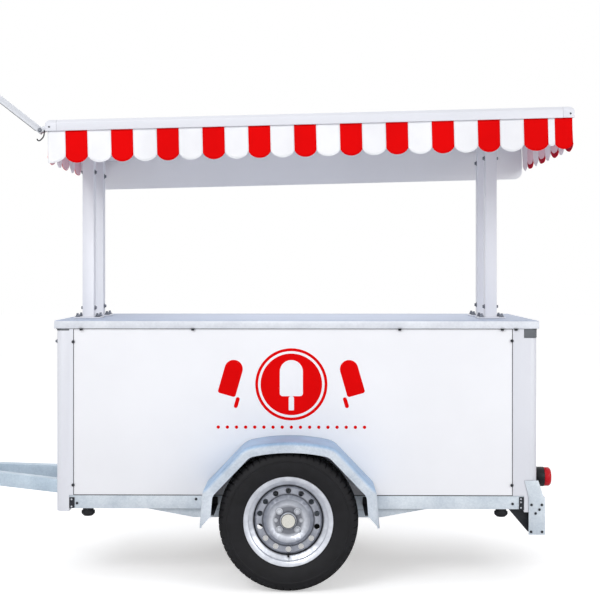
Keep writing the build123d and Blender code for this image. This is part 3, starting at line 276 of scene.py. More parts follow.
# The cloth's stripe values, and its colour outside and inside for each of them
white_stripe, red_stripe, white_hem, red_hem = 0.0, 1 / 3, 2 / 3, 1.0
cloth_white, cloth_red = (246, 247, 251), (230, 0, 2)
outside_tones = (cloth_white, cloth_red, cloth_white, cloth_red)
inside_tones = ((255, 240, 246), (246, 204, 214), (252, 236, 242), (186, 14, 44))
finishes = {
    "panel_white": painted("panel_white", (246, 247, 252), 0.32),
    # White profile: painted shade in its creases, within 4 mm
    "white_profile": painted("white_profile", (228, 230, 238), 0.34, reach=0.004),
    "galvanised": zinc_dipped("galvanised", (196, 207, 218), (228, 236, 243)),
    "counter_metal": brushed("counter_metal", (176, 187, 208), (196, 206, 225), (4, 160, 4), 0.5, 0.15, 0.2),
    "dark_steel": moulded("dark_steel", (40, 43, 50), 0.45, 300.0),
    "zinc_bright": zinc_dipped("zinc_bright", (186, 190, 198), (226, 229, 236), 0.34, 0.5, 0.005, 0.2),
    "rubber": moulded("rubber", (24, 25, 29), 0.6),
    "tyre": moulded("tyre", (22, 22, 26), 0.66, 900.0, 0.0001, 0.72),
    "rim_silver": ring_shaded_wheel("rim_silver", shade_rings),
    "valance_cloth": woven("valance_cloth", outside_tones),
    "board_grey": painted("board_grey", (246, 247, 251), 0.55),
    "corner_grey": moulded("corner_grey", (112, 116, 122), 0.5, 500.0, 0.0001, 0.9),
    "black_plastic": moulded("black_plastic", (20, 21, 25), 0.42),
    "lens_red": painted("lens_red", (200, 0, 26), 0.2, 0.00001, specular=0.3),
    "floor_board": brushed("floor_board", (92, 68, 48), (118, 90, 66), (6, 60, 6), 0.5, 0.0),
    # Mudguard zinc: its upward faces take a darker, bluer tone, a painted reflection
    "guard_zinc_painted_top": zinc_dipped("guard_zinc_painted_top", (186, 197, 210), (222, 230, 239), 0.5, 0.1, top=(172, 200, 230)),
    # Drawbar zinc: a darker, bluer copy of the galvanised finish, painted shade
    "beam_zinc_shaded": zinc_dipped("beam_zinc_shaded", (172, 190, 206), (204, 219, 232)),
    "rim_zinc": zinc_dipped("rim_zinc", (214, 218, 227), (234, 238, 245)),
    # Bolt zinc: a dark copy of the bright zinc, painted shade and dark reflection on small heads, with strong
    # painted shade in their creases
    "bolt_steel_shaded": zinc_dipped("bolt_steel_shaded", (98, 102, 112), (158, 163, 173), 0.36, 0.5, 0.004, 0.15),
    "arm_white": painted("arm_white", (212, 215, 222), 0.34),
    "cap_cream": brushed("cap_cream", (198, 198, 190), (240, 238, 230), (900, 4, 900), 0.45, 0.2),
}
cloth_inside = woven("valance_cloth_inside", inside_tones)

# The record's slot of each finish that has none of its own name, and the nodes with a finish of their own
finish_of_node = {
    "drawbar_near": "beam_zinc_shaded", "drawbar_far": "beam_zinc_shaded",
    "mudguard_near": "guard_zinc_painted_top", "mudguard_far": "guard_zinc_painted_top",
    "counter_sides": "rim_zinc", "counter_ends": "rim_zinc",
    "roof_arm": "arm_white", "arm_bracket": "arm_white",
}
slots = {row["node"]: row["material_slot"] for row in frame["record"]["subparts"]}
bodies = frame["record"]["behaviour"]["bodies"]
body_of_node = {node: body for body, nodes in bodies.items() for node in nodes}
for node, slot in slots.items():
    mesh = frame["nodes"][node].data
    mesh.materials.clear()
    mesh.materials.append(finishes[finish_of_node.get(node, slot)])

# Meshes


def grid_faces(rows, columns, wrap_rows=False, wrap_columns=False):
    """Corner numbers of the quads of a grid of points, whose last line joins the first where it wraps."""
    row = np.arange(rows if wrap_rows else rows - 1)[:, None]
    column = np.arange(columns if wrap_columns else columns - 1)[None, :]
    below, right = (row + 1) % rows, (column + 1) % columns
    corners = (
        row * columns + column, row * columns + right,
        below * columns + right, below * columns + column,
    )
    return np.stack(np.broadcast_arrays(*corners), axis=-1).reshape(-1, 4)


def place(name, points, faces, slot, body, smooth=35.0, closed=True):
    """Make a piece of the trailer from its points and faces, with the faces of a closed shell outwards."""
    mesh = bpy.data.meshes.new(name)
    mesh.from_pydata(np.asarray(points).reshape(-1, 3).tolist(), [], [list(face) for face in faces])
    if closed:
        shell = bmesh.new()
        shell.from_mesh(mesh)
        bmesh.ops.remove_doubles(shell, verts=shell.verts, dist=1e-6)
        bmesh.ops.recalc_face_normals(shell, faces=shell.faces)
        shell.to_mesh(mesh)
        shell.free()
    mesh.shade_smooth()
    mesh.set_sharp_from_angle(angle=np.radians(smooth))
    mesh.materials.append(finishes[slot])
    piece = bpy.data.objects.new(name, mesh)
    bpy.context.scene.collection.objects.link(piece)
    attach(piece, body)
    return piece


def lathe(profile, segments):
    """Points of a profile of (radius, height) turned about +Z: one ring of points to each profile row."""
    turn = np.linspace(0, 2 * np.pi, segments, endpoint=False)
    radius, height = np.asarray(profile, float).T
    around = np.stack([np.cos(turn), np.sin(turn), np.zeros(segments)], axis=-1)
    return radius[:, None, None] * around + height[:, None, None] * np.array([0, 0, 1.0])


def lathed_faces(rows, segments, closed_profile=False):
    """Faces of a lathe; an open profile gets a flat lid on its first and last ring."""
    faces = [list(face) for face in grid_faces(rows, segments, closed_profile, True)]
    if not closed_profile:
        faces.append(list(range(segments)))
        faces.append(list(range((rows - 1) * segments, rows * segments)))
    return faces


def swept(path, radius, sides=8):
    """A tube: a ring of the given radius at each point of a path, square to it, and a lid at each end."""
    path = np.asarray(path, float)
    along = np.gradient(path, axis=0)
    along /= np.linalg.norm(along, axis=1, keepdims=True)
    helper = np.where(np.abs(along[:, 1:2]) > 0.9, [[0, 0, 1.0]], [[0, 1.0, 0]])
    first = np.cross(along, helper)
    first /= np.linalg.norm(first, axis=1, keepdims=True)
    second = np.cross(along, first)
    turn = np.linspace(0, 2 * np.pi, sides, endpoint=False)
    ring = np.cos(turn)[None, :, None] * first[:, None] + np.sin(turn)[None, :, None] * second[:, None]
    points = path[:, None] + radius * ring
    return points, lathed_faces(len(path), sides)


def facing(directions):
    """For each direction, a 3 by 3 matrix that turns +Z onto it: two axes square to it, then itself."""
    axis = np.asarray(directions, float)
    axis = axis / np.linalg.norm(axis, axis=1, keepdims=True)
    helper = np.where(np.abs(axis[:, 2:3]) > 0.9, [[1.0, 0, 0]], [[0, 0, 1.0]])
    side = np.cross(helper, axis)
    side /= np.linalg.norm(side, axis=1, keepdims=True)
    return np.stack([side, np.cross(axis, side), axis], axis=-1)


def copies(unit_points, unit_faces, places, directions, sizes):
    """One mesh of a unit shape repeated at each place, turned onto its direction and scaled to its size."""
    unit = np.asarray(unit_points).reshape(-1, 3)
    turned = np.einsum("nij,kj->nki", facing(directions), unit)
    points = np.asarray(places)[:, None] + np.asarray(sizes)[:, None, None] * turned
    faces = [
        [corner + step * len(unit) for corner in face] for step in range(len(points)) for face in unit_faces
    ]
    return points, faces


# Unit fasteners, one metre over the head: a domed screw and a hexagon bolt on its washer
dome_profile = [(0.5, 0), (0.5, 0.08), (0.46, 0.2), (0.34, 0.32), (0.16, 0.39), (0.04, 0.4)]
hex_profile = [(0.5, 0.16), (0.5, 0.5), (0.43, 0.58)]
washer_profile = [(0.72, 0), (0.72, 0.13), (0.66, 0.17), (0.3, 0.17)]
stud_profile = [(0.3, 0.5), (0.3, 0.9), (0.24, 0.98)]


def screws(name, rows, slot, body):
    """Domed screws, one for each row of a place, a direction and a head's width."""
    places, directions, sizes = zip(*rows)
    dome, dome_faces = lathe(dome_profile, 12), lathed_faces(len(dome_profile), 12)
    points, faces = copies(dome, dome_faces, places, directions, sizes)
    return place(name, points, faces, slot, body)


def bolts(name, rows, slot, body, with_stud=False):
    """Hexagon bolts on washers, or nuts on studs; each row is a place, a direction and a head's width."""
    places, directions, sizes = zip(*rows)
    parts = [(hex_profile, 6), (washer_profile, 16)]
    if with_stud:
        parts.append((stud_profile, 12))
    unit = np.concatenate([lathe(profile, sides).reshape(-1, 3) for profile, sides in parts])
    faces, count = [], 0
    for profile, sides in parts:
        faces += [[corner + count for corner in face] for face in lathed_faces(len(profile), sides)]
        count += len(profile) * sides
    points, faces = copies(unit, faces, places, directions, sizes)
    return place(name, points, faces, slot, body, smooth=25.0)


def rounded(node, width, segments=2):
    """Put a merged copy of a CAD node, with its sharp edges eased by width, in the node's place."""
    source = frame["nodes"][node]
    mesh = source.data.copy()
    mesh.name = node + "_eased"
    shell = bmesh.new()
    shell.from_mesh(mesh)
    bmesh.ops.remove_doubles(shell, verts=shell.verts, dist=1e-5)
    bmesh.ops.dissolve_limit(shell, angle_limit=np.radians(1.0), verts=shell.verts, edges=shell.edges)
    shell.to_mesh(mesh)
    shell.free()
    mesh.shade_smooth()
    piece = bpy.data.objects.new(node + "_eased", mesh)
    bpy.context.scene.collection.objects.link(piece)
    bevel = piece.modifiers.new("ease", "BEVEL")
    bevel.width = width
    bevel.segments = segments
    bevel.limit_method = "ANGLE"
    bevel.angle_limit = np.radians(30.0)
    bevel.harden_normals = True
    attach(piece, body_of_node[node])
    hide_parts(node)


# Edge easing of the CAD nodes, in metres
eased_nodes = {
    0.0004: ("counter_top", "lamp_bases", "arm_bracket"),
    0.0008: (
        "mudguard_near", "mudguard_far", "rear_side_plates", "rear_beam", "chassis_rails", "counter_sides",
        "counter_ends", "counter_bearers", "rim_near", "rim_far", "front_wall", "rear_wall", "side_panel",
        "vendor_rails", "vendor_panel", "mudguard_stays", "drawbar_brackets", "cross_members", "rear_gussets",
        "axle_braces", "back_board", "door_hinges", "roof_panel", "floor_panel",
    ),
    0.0015: (
        "door_front", "door_rear", "corner_caps", "roof_posts", "roof_beams", "fascia_sides", "fascia_ends",
        "fascia_corners", "hub_near", "hub_far", "coupling_head", "coupling_lever", "jockey_crank",
        "jockey_fork", "jockey_clamp", "jockey_tube", "roof_arm", "axle_beam", "rubber_feet", "drawbar_nose",
        "corner_posts_front", "corner_posts_rear",
    ),
    0.003: ("drawbar_near", "drawbar_far", "jockey_wheel", "lamp_lenses"),
}
for width, nodes in eased_nodes.items():
    for node in nodes:
        rounded(node, width)

# Valances: cloth that hangs from the fascia in scallops

valance_inset = 0.008
valance_drop = 0.128
scallop_depth = 0.026
# The most that a scallop's depth is of its stripe's width, and the square of how much of its circle's
# radius a scallop's half width takes up
narrow_share, arc_share = 0.3, 0.82
cloth_thickness, piping_radius, piping_sides = 0.0012, 0.0013, 6
# The cloth's long wave and the short one at half its height: radians to a metre, and where they begin
wave_depth, long_wave, long_start, short_wave, short_start = 0.003, 23.0, 0.6, 61.0, 2.0
valance_length = roof_length - 2 * valance_inset
valance_y = roof_width / 2 - valance_inset
board_inset, end_gap = 0.028, 0.002
board_y = roof_width / 2 - board_inset
first_white, stripe_red, stripe_white, seam_red, seam_white = 0.071, 0.0885, 0.095, 0.097, 0.026


def on_roof(points):
    """Points of the roof's frame, z = 0 under its fascia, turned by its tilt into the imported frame."""
    along, across, up = np.moveaxis(np.asarray(points, float), -1, 0)
    level = along * np.cos(roof_tilt) - up * np.sin(roof_tilt)
    height = along * np.sin(roof_tilt) + up * np.cos(roof_tilt)
    return np.stack([level, across + 0 * along, height], axis=-1) + roof_origin


def scalloped(widths, half_first=False, columns=12, rows=14):
    """A strip of cloth in its own flat frame: distance along it and depth below its upper edge.

    Each stripe has its own columns, whose lower ends follow a round scallop: a circle's arc as deep as
    the scallop, or, on a first stripe that is cut in half by the corner, only the arc's second half.
    Every column runs down from 0 to its own depth in equal steps."""
    starts = np.concatenate([[0], np.cumsum(widths)[:-1]])
    share = np.linspace(0, 1, columns)
    widths = np.asarray(widths)
    along = starts[:, None] + widths[:, None] * share
    sag = np.minimum(scallop_depth, narrow_share * widths)
    across = np.tile(share, (len(widths), 1))
    if half_first:
        across[0] = (1 + share) / 2
        sag[0] = scallop_depth
    arc = np.sqrt(1 - (2 * across - 1) ** 2 * arc_share) - np.sqrt(1 - arc_share)
    depth = valance_drop - scallop_depth + sag[:, None] * arc / arc.max()
    down = np.linspace(0, 1, rows)[:, None, None] * depth
    return along, down


def dyed(piece, values, flat_map):
    """Give each face its tone, and each corner its place on the cloth's flat map."""
    mesh = piece.data
    tone = mesh.attributes.new("stripe", "FLOAT", "FACE")
    tone.data.foreach_set("value", np.broadcast_to(values, len(mesh.polygons)).astype(np.float32))
    layer = mesh.uv_layers.new(name="cloth")
    corner = np.empty(len(mesh.loops), np.int32)
    mesh.loops.foreach_get("vertex_index", corner)
    layer.data.foreach_set("uv", flat_map[corner].astype(np.float32).reshape(-1))


def hung(name, widths, reds, to_roof, facing_out, hem_rows, half_first=False):
    """Hang a scalloped strip: cloth with a wave that grows towards its free edge, and a piped edge below.

    The wave is two sines along the cloth, times the share of the drop reached to the power 1.5.
    facing_out, 1 or -1, is the order of a face's corners that turns it outwards.
    The cloth is one layer with a thickness on its inner side, which is paler down to the hem that is
    bound along the scallops in the stripe's own colour."""
    along, down = scalloped(widths, half_first)
    rows, stripes, columns = down.shape
    block = stripes * columns
    length = np.broadcast_to(along, down.shape)
    billow = wave_depth * (down / valance_drop) ** 1.5
    ripple = np.sin(length * long_wave + long_start) + 0.5 * np.sin(length * short_wave + short_start)
    out = billow * ripple - cloth_thickness / 2
    points = to_roof(length, out, -down).reshape(-1, 3)
    faces = grid_faces(rows, block).reshape(rows - 1, block - 1, 4)
    joined = np.arange(block - 1) % columns != columns - 1
    faces = faces[:, joined][..., ::facing_out].reshape(-1, 4)
    is_red = np.tile(np.repeat(np.asarray(reds, bool), columns - 1), rows - 1)
    in_hem = np.repeat(np.arange(rows - 1) >= rows - 1 - hem_rows, len(is_red) // (rows - 1))
    open_stripe = np.where(is_red, red_stripe, white_stripe)
    stripe = np.where(in_hem, np.where(is_red, red_hem, white_hem), open_stripe)
    cloth = place(name, points, faces, "valance_cloth", "trailer", 60.0, False)
    cloth.data.materials.append(cloth_inside)
    dyed(cloth, stripe, np.stack([length.reshape(-1), down.reshape(-1)], axis=-1))
    thick = cloth.modifiers.new("thickness", "SOLIDIFY")
    thick.thickness = cloth_thickness
    thick.offset = -1.0
    thick.material_offset = 1
    edge = points.reshape(rows, block, 3)[-1]
    kept = np.concatenate([[True], np.linalg.norm(np.diff(edge, axis=0), axis=1) > 1e-5])
    piping_points, piping_faces = swept(edge[kept], piping_radius, piping_sides)
    piping = place(name + "_piping", piping_points, piping_faces, "valance_cloth", "trailer")
    edge_red = np.repeat(np.asarray(reds, bool), columns)[kept][1:]
    piping_stripe = np.repeat(np.where(edge_red, red_stripe, white_stripe), piping_sides)
    piping_stripe = np.append(piping_stripe, [red_stripe] * 2)
    dyed(piping, piping_stripe, np.zeros((len(piping.data.vertices), 2)))
    return cloth


pair_room = valance_length - first_white - seam_red - seam_white
pairs = int(pair_room // (stripe_red + stripe_white))
last_red = pair_room - pairs * (stripe_red + stripe_white)
near_widths = [first_white] + [stripe_red, stripe_white] * pairs + [seam_red, seam_white, last_red]
near_colours = [0] + [1, 0] * pairs + [1, 0, 1]


def near_edge(length, out, height):
    """From distance along the near valance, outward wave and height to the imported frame."""
    return on_roof(np.stack([length - valance_length / 2, -valance_y - out, height], axis=-1))


near_cloth = hung(
    "valance_near_cloth", near_widths, near_colours, near_edge,
    -1, 2, True,
)
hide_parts("valance_near")

end_span = valance_y + board_y - 2 * end_gap
end_widths = [end_span / 8] * 8
for end, name in ((-1, "valance_front_cloth"), (1, "valance_rear_cloth")):

    def end_edge(length, out, height, end=end):
        """From distance along an end valance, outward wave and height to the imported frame."""
        along = end * (valance_length / 2 + out)
        return on_roof(np.stack([along, length - valance_y + end_gap, height], axis=-1))

    end_cloth = hung(
        name, end_widths, [1, 0] * 4, end_edge,
        -end, 1 + end,
    )
    if end > 0:
        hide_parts("valance_ends")

# Tyres: carcass with grooved tread and moulded rings on the walls

tread_pitches = 60
pitch_shares = np.array([0, 0.04, 0.16, 0.2, 0.45, 0.7])
# A cross groove's turn in radians to a metre outboard, and the radius and place outboard where it begins
groove_lean, lean_radius, lean_outboard = 0.9, 0.26, 0.077
# Where the shoulder starts, its width, and the shares of a cut that it loses inwards and gains sideways
shoulder_start, shoulder_width, inward_loss, sideways_gain = 0.06, 0.02, 0.6, 0.5


def wheel_points(side, radius, turn, outboard):
    """Points about a wheel's axle, by radius, angle and distance outboard of its middle plane."""
    along = radius * np.sin(turn)
    up = radius * np.cos(turn)
    across = side * (wheel_y + outboard) + 0 * along
    return np.stack([axle[0] + along, across, axle[2] + up], axis=-1)


# The tyre's profile from the outer bead over the tread to the inner one. Each row is a radius, a
# distance outboard, the depth of the main grooves there and how far the cross grooves cut in.
half_profile = np.array([
    (0.1655, 0.0590, 0, 0), (0.1740, 0.0640, 0, 0), (0.1823, 0.0672, 0, 0), (0.1860, 0.0700, 0, 0),
    (0.1900, 0.0715, 0, 0), (0.2000, 0.0760, 0, 0), (0.2100, 0.0795, 0, 0), (0.2200, 0.0816, 0, 0),
    (0.2320, 0.0825, 0, 0), (0.2400, 0.0822, 0, 0), (0.2420, 0.0834, 0, 0), (0.2450, 0.0834, 0, 0),
    (0.2470, 0.0812, 0, 0), (0.2540, 0.0795, 0, 0), (0.2600, 0.0770, 0, 0.0005), (0.2650, 0.0745, 0, 0.003),
    (0.2700, 0.0710, 0, 0.005), (0.2745, 0.0665, 0, 0.006), (0.2775, 0.0610, 0, 0.006),
    (0.2792, 0.0540, 0, 0.006), (0.2802, 0.0460, 0, 0.006), (0.2807, 0.0425, 0, 0.003),
    (0.2808, 0.0415, 0.0075, 0), (0.2811, 0.0355, 0.0075, 0), (0.2813, 0.0345, 0, 0.003),
    (0.2820, 0.0270, 0, 0.0055), (0.2825, 0.0190, 0, 0.0055), (0.2827, 0.0155, 0, 0.003),
    (0.2827, 0.0145, 0.0075, 0), (0.2828, 0.0085, 0.0075, 0), (0.2829, 0.0075, 0, 0.001),
    (0.2830, 0.0000, 0, 0.001),
])
mirrored_half = half_profile[-2::-1] * np.array([1, -1, 1, 1])
full_profile = np.concatenate([half_profile, mirrored_half])
turns = 2 * np.pi * (np.arange(tread_pitches)[:, None] + pitch_shares).reshape(-1) / tread_pitches
in_cross_groove = np.tile((pitch_shares > 0.03) & (pitch_shares < 0.18), tread_pitches)


def tyre(name, side, body, node):
    """A tyre: the profile turned about the axle, less the main grooves, less the cross grooves.

    The cross grooves lean over the tread: a profile row's angle moves on with its distance from the
    middle plane, so that the two halves of the tread lean opposite ways. Over the shoulder a cut goes
    less towards the axle and more towards the middle plane."""
    radius, outboard, main, cross = full_profile.T
    lean = groove_lean * np.abs(outboard)
    cut = main[:, None] + cross[:, None] * in_cross_groove
    turn = turns[None] + np.where(radius > lean_radius, lean, groove_lean * lean_outboard)[:, None]
    slope = np.clip((np.abs(outboard) - shoulder_start) / shoulder_width, 0, 1)[:, None]
    shell_radius = radius[:, None] - cut * (1 - inward_loss * slope)
    shell_side = outboard[:, None] - np.sign(outboard)[:, None] * cut * sideways_gain * slope
    points = wheel_points(side, shell_radius, turn, shell_side + 0 * turn)
    faces = grid_faces(len(radius), len(turns), True, True)
    piece = place(name, points, faces, "tyre", body, 28.0)
    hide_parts(node)


tyre("tyre_near_tread", -1, "near_wheel", "tyre_near")
tyre("tyre_far_tread", 1, "far_wheel", "tyre_far")

# Wheel bolts, cap faces and valves: the bolts' circle, and how far outboard the bolts and the cap sit

bolt_circle, bolt_seat, cap_seat = 0.051, 0.038, 0.056
# The cap ring's radius and that of its round section, and half the valve stem's width
cap_ring_radius, cap_ring_half, stem_half = 0.0287, 0.0013, 0.0042
for side, body in ((-1, "near_wheel"), (1, "far_wheel")):
    name = body.split("_")[0]
    outward = (0, side, 0)
    quarter = np.radians([45, 135, 225, 315])
    big = [(point, outward, 0.019) for point in wheel_points(side, bolt_circle, quarter, bolt_seat)]
    level = np.radians([90, 270])
    small = [(point, outward, 0.012) for point in wheel_points(side, bolt_circle, level, bolt_seat)]
    bolts("wheel_bolts_" + name, big + small, "zinc_bright", body)
    face_profile = [
        (0.0275, 0), (0.027, 0.0016), (0.0235, 0.0016), (0.0225, 0.0006), (0.012, 0.0011), (0.001, 0.0012),
    ]
    face, face_faces = copies(
        lathe(face_profile, 48), lathed_faces(len(face_profile), 48),
        [wheel_points(side, 0.0, 0.0, cap_seat)], [outward], [1.0],
    )
    place("cap_face_" + name, face, face_faces, "cap_cream", body)
    turn = np.linspace(0, 2 * np.pi, 10, endpoint=False)
    ring_profile = np.stack([
        cap_ring_radius + cap_ring_half * np.cos(turn), cap_ring_half * np.sin(turn),
    ], axis=-1)
    ring, ring_faces = copies(
        lathe(ring_profile, 48), lathed_faces(len(ring_profile), 48, True),
        [wheel_points(side, 0.0, 0.0, cap_seat + 0.0002)], [outward], [1.0],
    )
    place("cap_ring_" + name, ring, ring_faces, "black_plastic", body)
    stem_radius, stem_outboard = np.array([0.1385, 0.1415, 0.1435]), np.array([0.012, 0.026, 0.046])
    stem = wheel_points(side, stem_radius, np.radians(180.0), stem_outboard)
    points, faces = swept(stem, stem_half, 12)
    place("valve_" + name, points, faces, "black_plastic", body)

# Fasteners


def body_place(along, across, height):
    """A place given from the body's middle, in millimetres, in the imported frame."""
    return (body_x + along / 1000, across / 1000, height / 1000)


# Outer faces across from the body's middle, and the posts' places and sizes, in millimetres
side_face, panel_face, side_plate_face, rim_nut_across = 400, 397, 404, 401
rail_plate_thick = 2.0
wall_face, bracket_thick = 1000, 3
post_alongs, post_acrosses, post_half = (-908, 844), (-130, 130), 25
base_plate_top, rim_underside = 1086, 1047
base_plate_holes = [(along, across) for along in (-43, 43) for across in (-43, 43)]

# Places along and up; each row made from them is a place, the way it faces and its head's width
seam_rows = [(-928.4, 991.6), (-928.4, 395.3), (894.6, 996.4), (894.6, 397.7)]
seam_bolts = [
    (body_place(x, side * side_face, z), (0, side, 0), 0.013) for x, z in seam_rows for side in (-1, 1)
]
screws("seam_bolts", seam_bolts, "dark_steel", "trailer")

plate_bolts = []
for post_along in post_alongs:
    for post_across in post_acrosses:
        for step_along, step_across in base_plate_holes:
            spot = body_place(post_along + step_along, post_across + step_across, base_plate_top)
            plate_bolts.append((spot, (0, 0, 1), 0.017))
bolts("base_plate_nuts", plate_bolts, "bolt_steel_shaded", "trailer", True)

post_bolts = []
for post_along, heights in zip(post_alongs, ((1125, 1718), (1131, 1776))):
    for post_across in post_acrosses:
        for height in heights:
            for face in (-1, 1):
                spot = body_place(post_along + face * post_half, post_across, height)
                post_bolts.append((spot, (face, 0, 0), 0.015))
bolts("post_bolts", post_bolts, "bolt_steel_shaded", "trailer")

rim_nuts = []
for along in (-895, -430, 430, 855, 911):
    for face in (-1, 1):
        rim_nuts.append((body_place(along, face * rim_nut_across, rim_underside), (0, 0, -1), 0.014))
bolts("counter_nuts", rim_nuts, "dark_steel", "trailer")

bracket_bolts = []
for across in (-192.6, 192.6):
    for step_y in (-40, 40):
        for height in (392, 418, 444):
            spot = body_place(-wall_face - bracket_thick, across + step_y, height)
            bracket_bolts.append((spot, (-1, 0, 0), 0.014))
for across in (-372, 372):
    bracket_bolts.append((body_place(-wall_face, across, 993), (-1, 0, 0), 0.012))
bolts("bracket_bolts", bracket_bolts, "bolt_steel_shaded", "trailer")

side_plate_rows = (
    (974.6, 317.5), (1017.5, 317.6), (1007.6, 298.1), (991.5, 282.3), (973, 205.7), (1018.4, 205.8),
)
side_plate_bolts = []
for face in (-1, 1):
    for along, height in side_plate_rows:
        spot = body_place(along, face * side_plate_face, height)
        side_plate_bolts.append((spot, (0, face, 0), 0.011))
screws("side_plate_bolts", side_plate_bolts, "dark_steel", "trailer")

rail_bolts = []
for face in (-1, 1):
    for along, height in ((-912.9, 319.5), (897.6, 320.1), (-416.4, 337.4)):
        rail_bolts.append((body_place(along, face * panel_face, height), (0, face, 0), 0.011))
screws("rail_bolts", rail_bolts, "dark_steel", "trailer")

plate_dots = []
for face in (-1, 1):
    for along, height in ((-935, 335.3), (-935, 305.7), (932, 340.1), (932, 327.3), (932, 304.4)):
        spot = body_place(along, face * (panel_face + rail_plate_thick), height)
        plate_dots.append((spot, (0, face, 0), 0.008))
screws("rail_plate_rivets", plate_dots, "zinc_bright", "trailer")

screw_inset = 0.016
corner_screws = []
for along, across in ((-1, -1), (-1, 1), (1, -1), (1, 1)):
    spot = on_roof([along * (roof_length / 2 - screw_inset), across * roof_width / 2, screw_inset])
    corner_screws.append((spot, (0, across, 0), 0.007))
screws("corner_screws", corner_screws, "dark_steel", "trailer")

# The grip on the jockey wheel's crank: a sleeve with a round end, waisted between two beads
crank_low, crank_high = (np.array(corner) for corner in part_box("jockey_crank"))
grip_profile = [
    (0.0113, -0.077), (0.0134, -0.077), (0.0142, -0.0745), (0.0138, -0.071),
    (0.0126, -0.066), (0.0124, -0.04), (0.0126, -0.014), (0.0138, -0.007),
    (0.0140, -0.003), (0.0120, 0.0010), (0.0080, 0.0026), (0.0020, 0.0032),
]
grip_from_end = 0.012
grip_points = lathe(grip_profile, 32)
grip_place = np.array([crank_high[0] - grip_from_end, (crank_low[1] + crank_high[1]) / 2, crank_high[2]])
place("crank_grip", grip_points + grip_place, lathed_faces(len(grip_profile), 32), "black_plastic", "trailer")

# Plates, seals and the hook


def plates(name, rows, slot, corner=3.0):
    """Upright plates on the rails' outer faces, each with rounded corners and a chamfer round its face.

    An outline is a rectangle whose corners are quarter circles; the plate is that outline at the rail,
    again at four fifths of the thickness, and again at the full thickness drawn in by the chamfer."""
    turn = np.linspace(0, np.pi / 2, 5)
    points, faces, count = [], [], 0
    for low, high, foot, top, side, thick in rows:
        rings = []
        for depth, inset in ((0, 0), (0.8 * thick, 0), (thick, 0.2 * thick)):
            round_corner = corner - inset
            quarter = []
            for step, (x, z) in enumerate(((high, top), (low, top), (low, foot), (high, foot))):
                x_in = x - np.sign(x - (low + high) / 2) * corner
                z_in = z - np.sign(z - (foot + top) / 2) * corner
                angle = turn + step * np.pi / 2
                bend = round_corner * np.stack([np.cos(angle), np.sin(angle)], axis=-1)
                quarter.append(np.array([x_in, z_in]) + bend)
            outline = np.concatenate(quarter)
            across = np.full(len(outline), side * (panel_face + depth))
            rings.append(np.stack([outline[:, 0], across, outline[:, 1]], axis=-1))
        points.append(np.concatenate(rings))
        faces += [[point + count for point in face] for face in lathed_faces(3, len(outline))]
        count += 3 * len(outline)
    points = np.concatenate(points) / 1000 + np.array([body_x, 0, 0])
    return place(name, points, faces, slot, "trailer", 30.0)


plate_rows = []
for side in (-1, 1):
    plate_rows += [
        (-945.5, -923, 299, 344, side, rail_plate_thick), (924.5, 944, 296, 349, side, rail_plate_thick),
    ]
plates("rail_end_plates", plate_rows, "dark_steel")

# Each row is a seal's two ends along, across and up, and its radius, in millimetres. The beads at the post
# lips and the panel's foot are dark joints; the three at 1046 mm, under the counter rim, are painted shadow:
# dark beads where the rim's shadow line falls
seal_rows = [
    ((-927, -panel_face, 354), (-927, -panel_face, 1046), 1.4),
    ((897, -panel_face, 354), (897, -panel_face, 1046), 1.4),
    ((-927, -panel_face, 354), (897, -panel_face, 354), 1.6),
    ((-926, -panel_face, 1046), (896, -panel_face, 1046), 1.6),
    ((-999, -398.5, 1046), (-931, -398.5, 1046), 1.6), ((901, -398.5, 1046), (999, -398.5, 1046), 1.6),
]
seal_rings, seal_sides = 9, 8
seals = []
for first, last, radius in seal_rows:
    ends = np.array([body_place(*first), body_place(*last)])
    share = np.linspace(0, 1, seal_rings)[:, None]
    seals.append(swept(ends[0] + (ends[1] - ends[0]) * share, radius / 1000, seal_sides))
seal_points = np.concatenate([points.reshape(-1, 3) for points, faces in seals])
seal_faces = [
    [corner + seal_rings * seal_sides * step for corner in face]
    for step, (points, faces) in enumerate(seals) for face in faces
]
place("panel_seals", seal_points, seal_faces, "rubber", "trailer")

# How far across the hook, the arm's pivot bolt and its rubber strip lie, in millimetres
hook_across, pivot_across, strip_across = -598, -595, -586
hook_bends = np.array([
    (-1007, 1850), (-1007.5, 1839), (-1009, 1829), (-1012, 1822), (-1018, 1815.5),
    (-1024, 1810), (-1029, 1808), (-1034, 1810.5), (-1036.5, 1816),
])
hook_path = np.array([body_place(x, hook_across, z) for x, z in hook_bends])
points, faces = swept(hook_path, 0.0027, 10)
place("awning_hook", points, faces, "dark_steel", "trailer")

# A dark strip in the rubber finish runs along the arm's underside as painted shade on its lower edge: steps
# along the arm from its pivot, half the arm below it
arm_pivot_along, arm_pivot_height, arm_half = -1025.8, 1851.6, 0.0125
arm_rise = np.radians(38)
arm_steps = np.linspace(0.014, 0.594, 24)[:, None]
arm_direction = np.array([-np.cos(arm_rise), 0, np.sin(arm_rise)])
arm_under = np.array([-np.sin(arm_rise), 0, -np.cos(arm_rise)])
strip_start = np.array(body_place(arm_pivot_along, strip_across, arm_pivot_height))
strip_path = strip_start + arm_steps * arm_direction + arm_half * arm_under
points, faces = swept(strip_path, 0.002, 8)
place("arm_strip", points, faces, "rubber", "arm")
pivot = body_place(arm_pivot_along, pivot_across, arm_pivot_height)
bolts("arm_pivot_bolt", [(pivot, (0, -1, 0), 0.012)], "bolt_steel_shaded", "trailer")

# Sign: a plain round sign of lollies over a row of dots


def disc_outline(x, z, radius, count=64):
    """Points of a circle on the panel, in millimetres from the body's middle."""
    turn = np.linspace(0, 2 * np.pi, count, endpoint=False)
    return np.stack([x + radius * np.cos(turn), z + radius * np.sin(turn)], axis=-1)


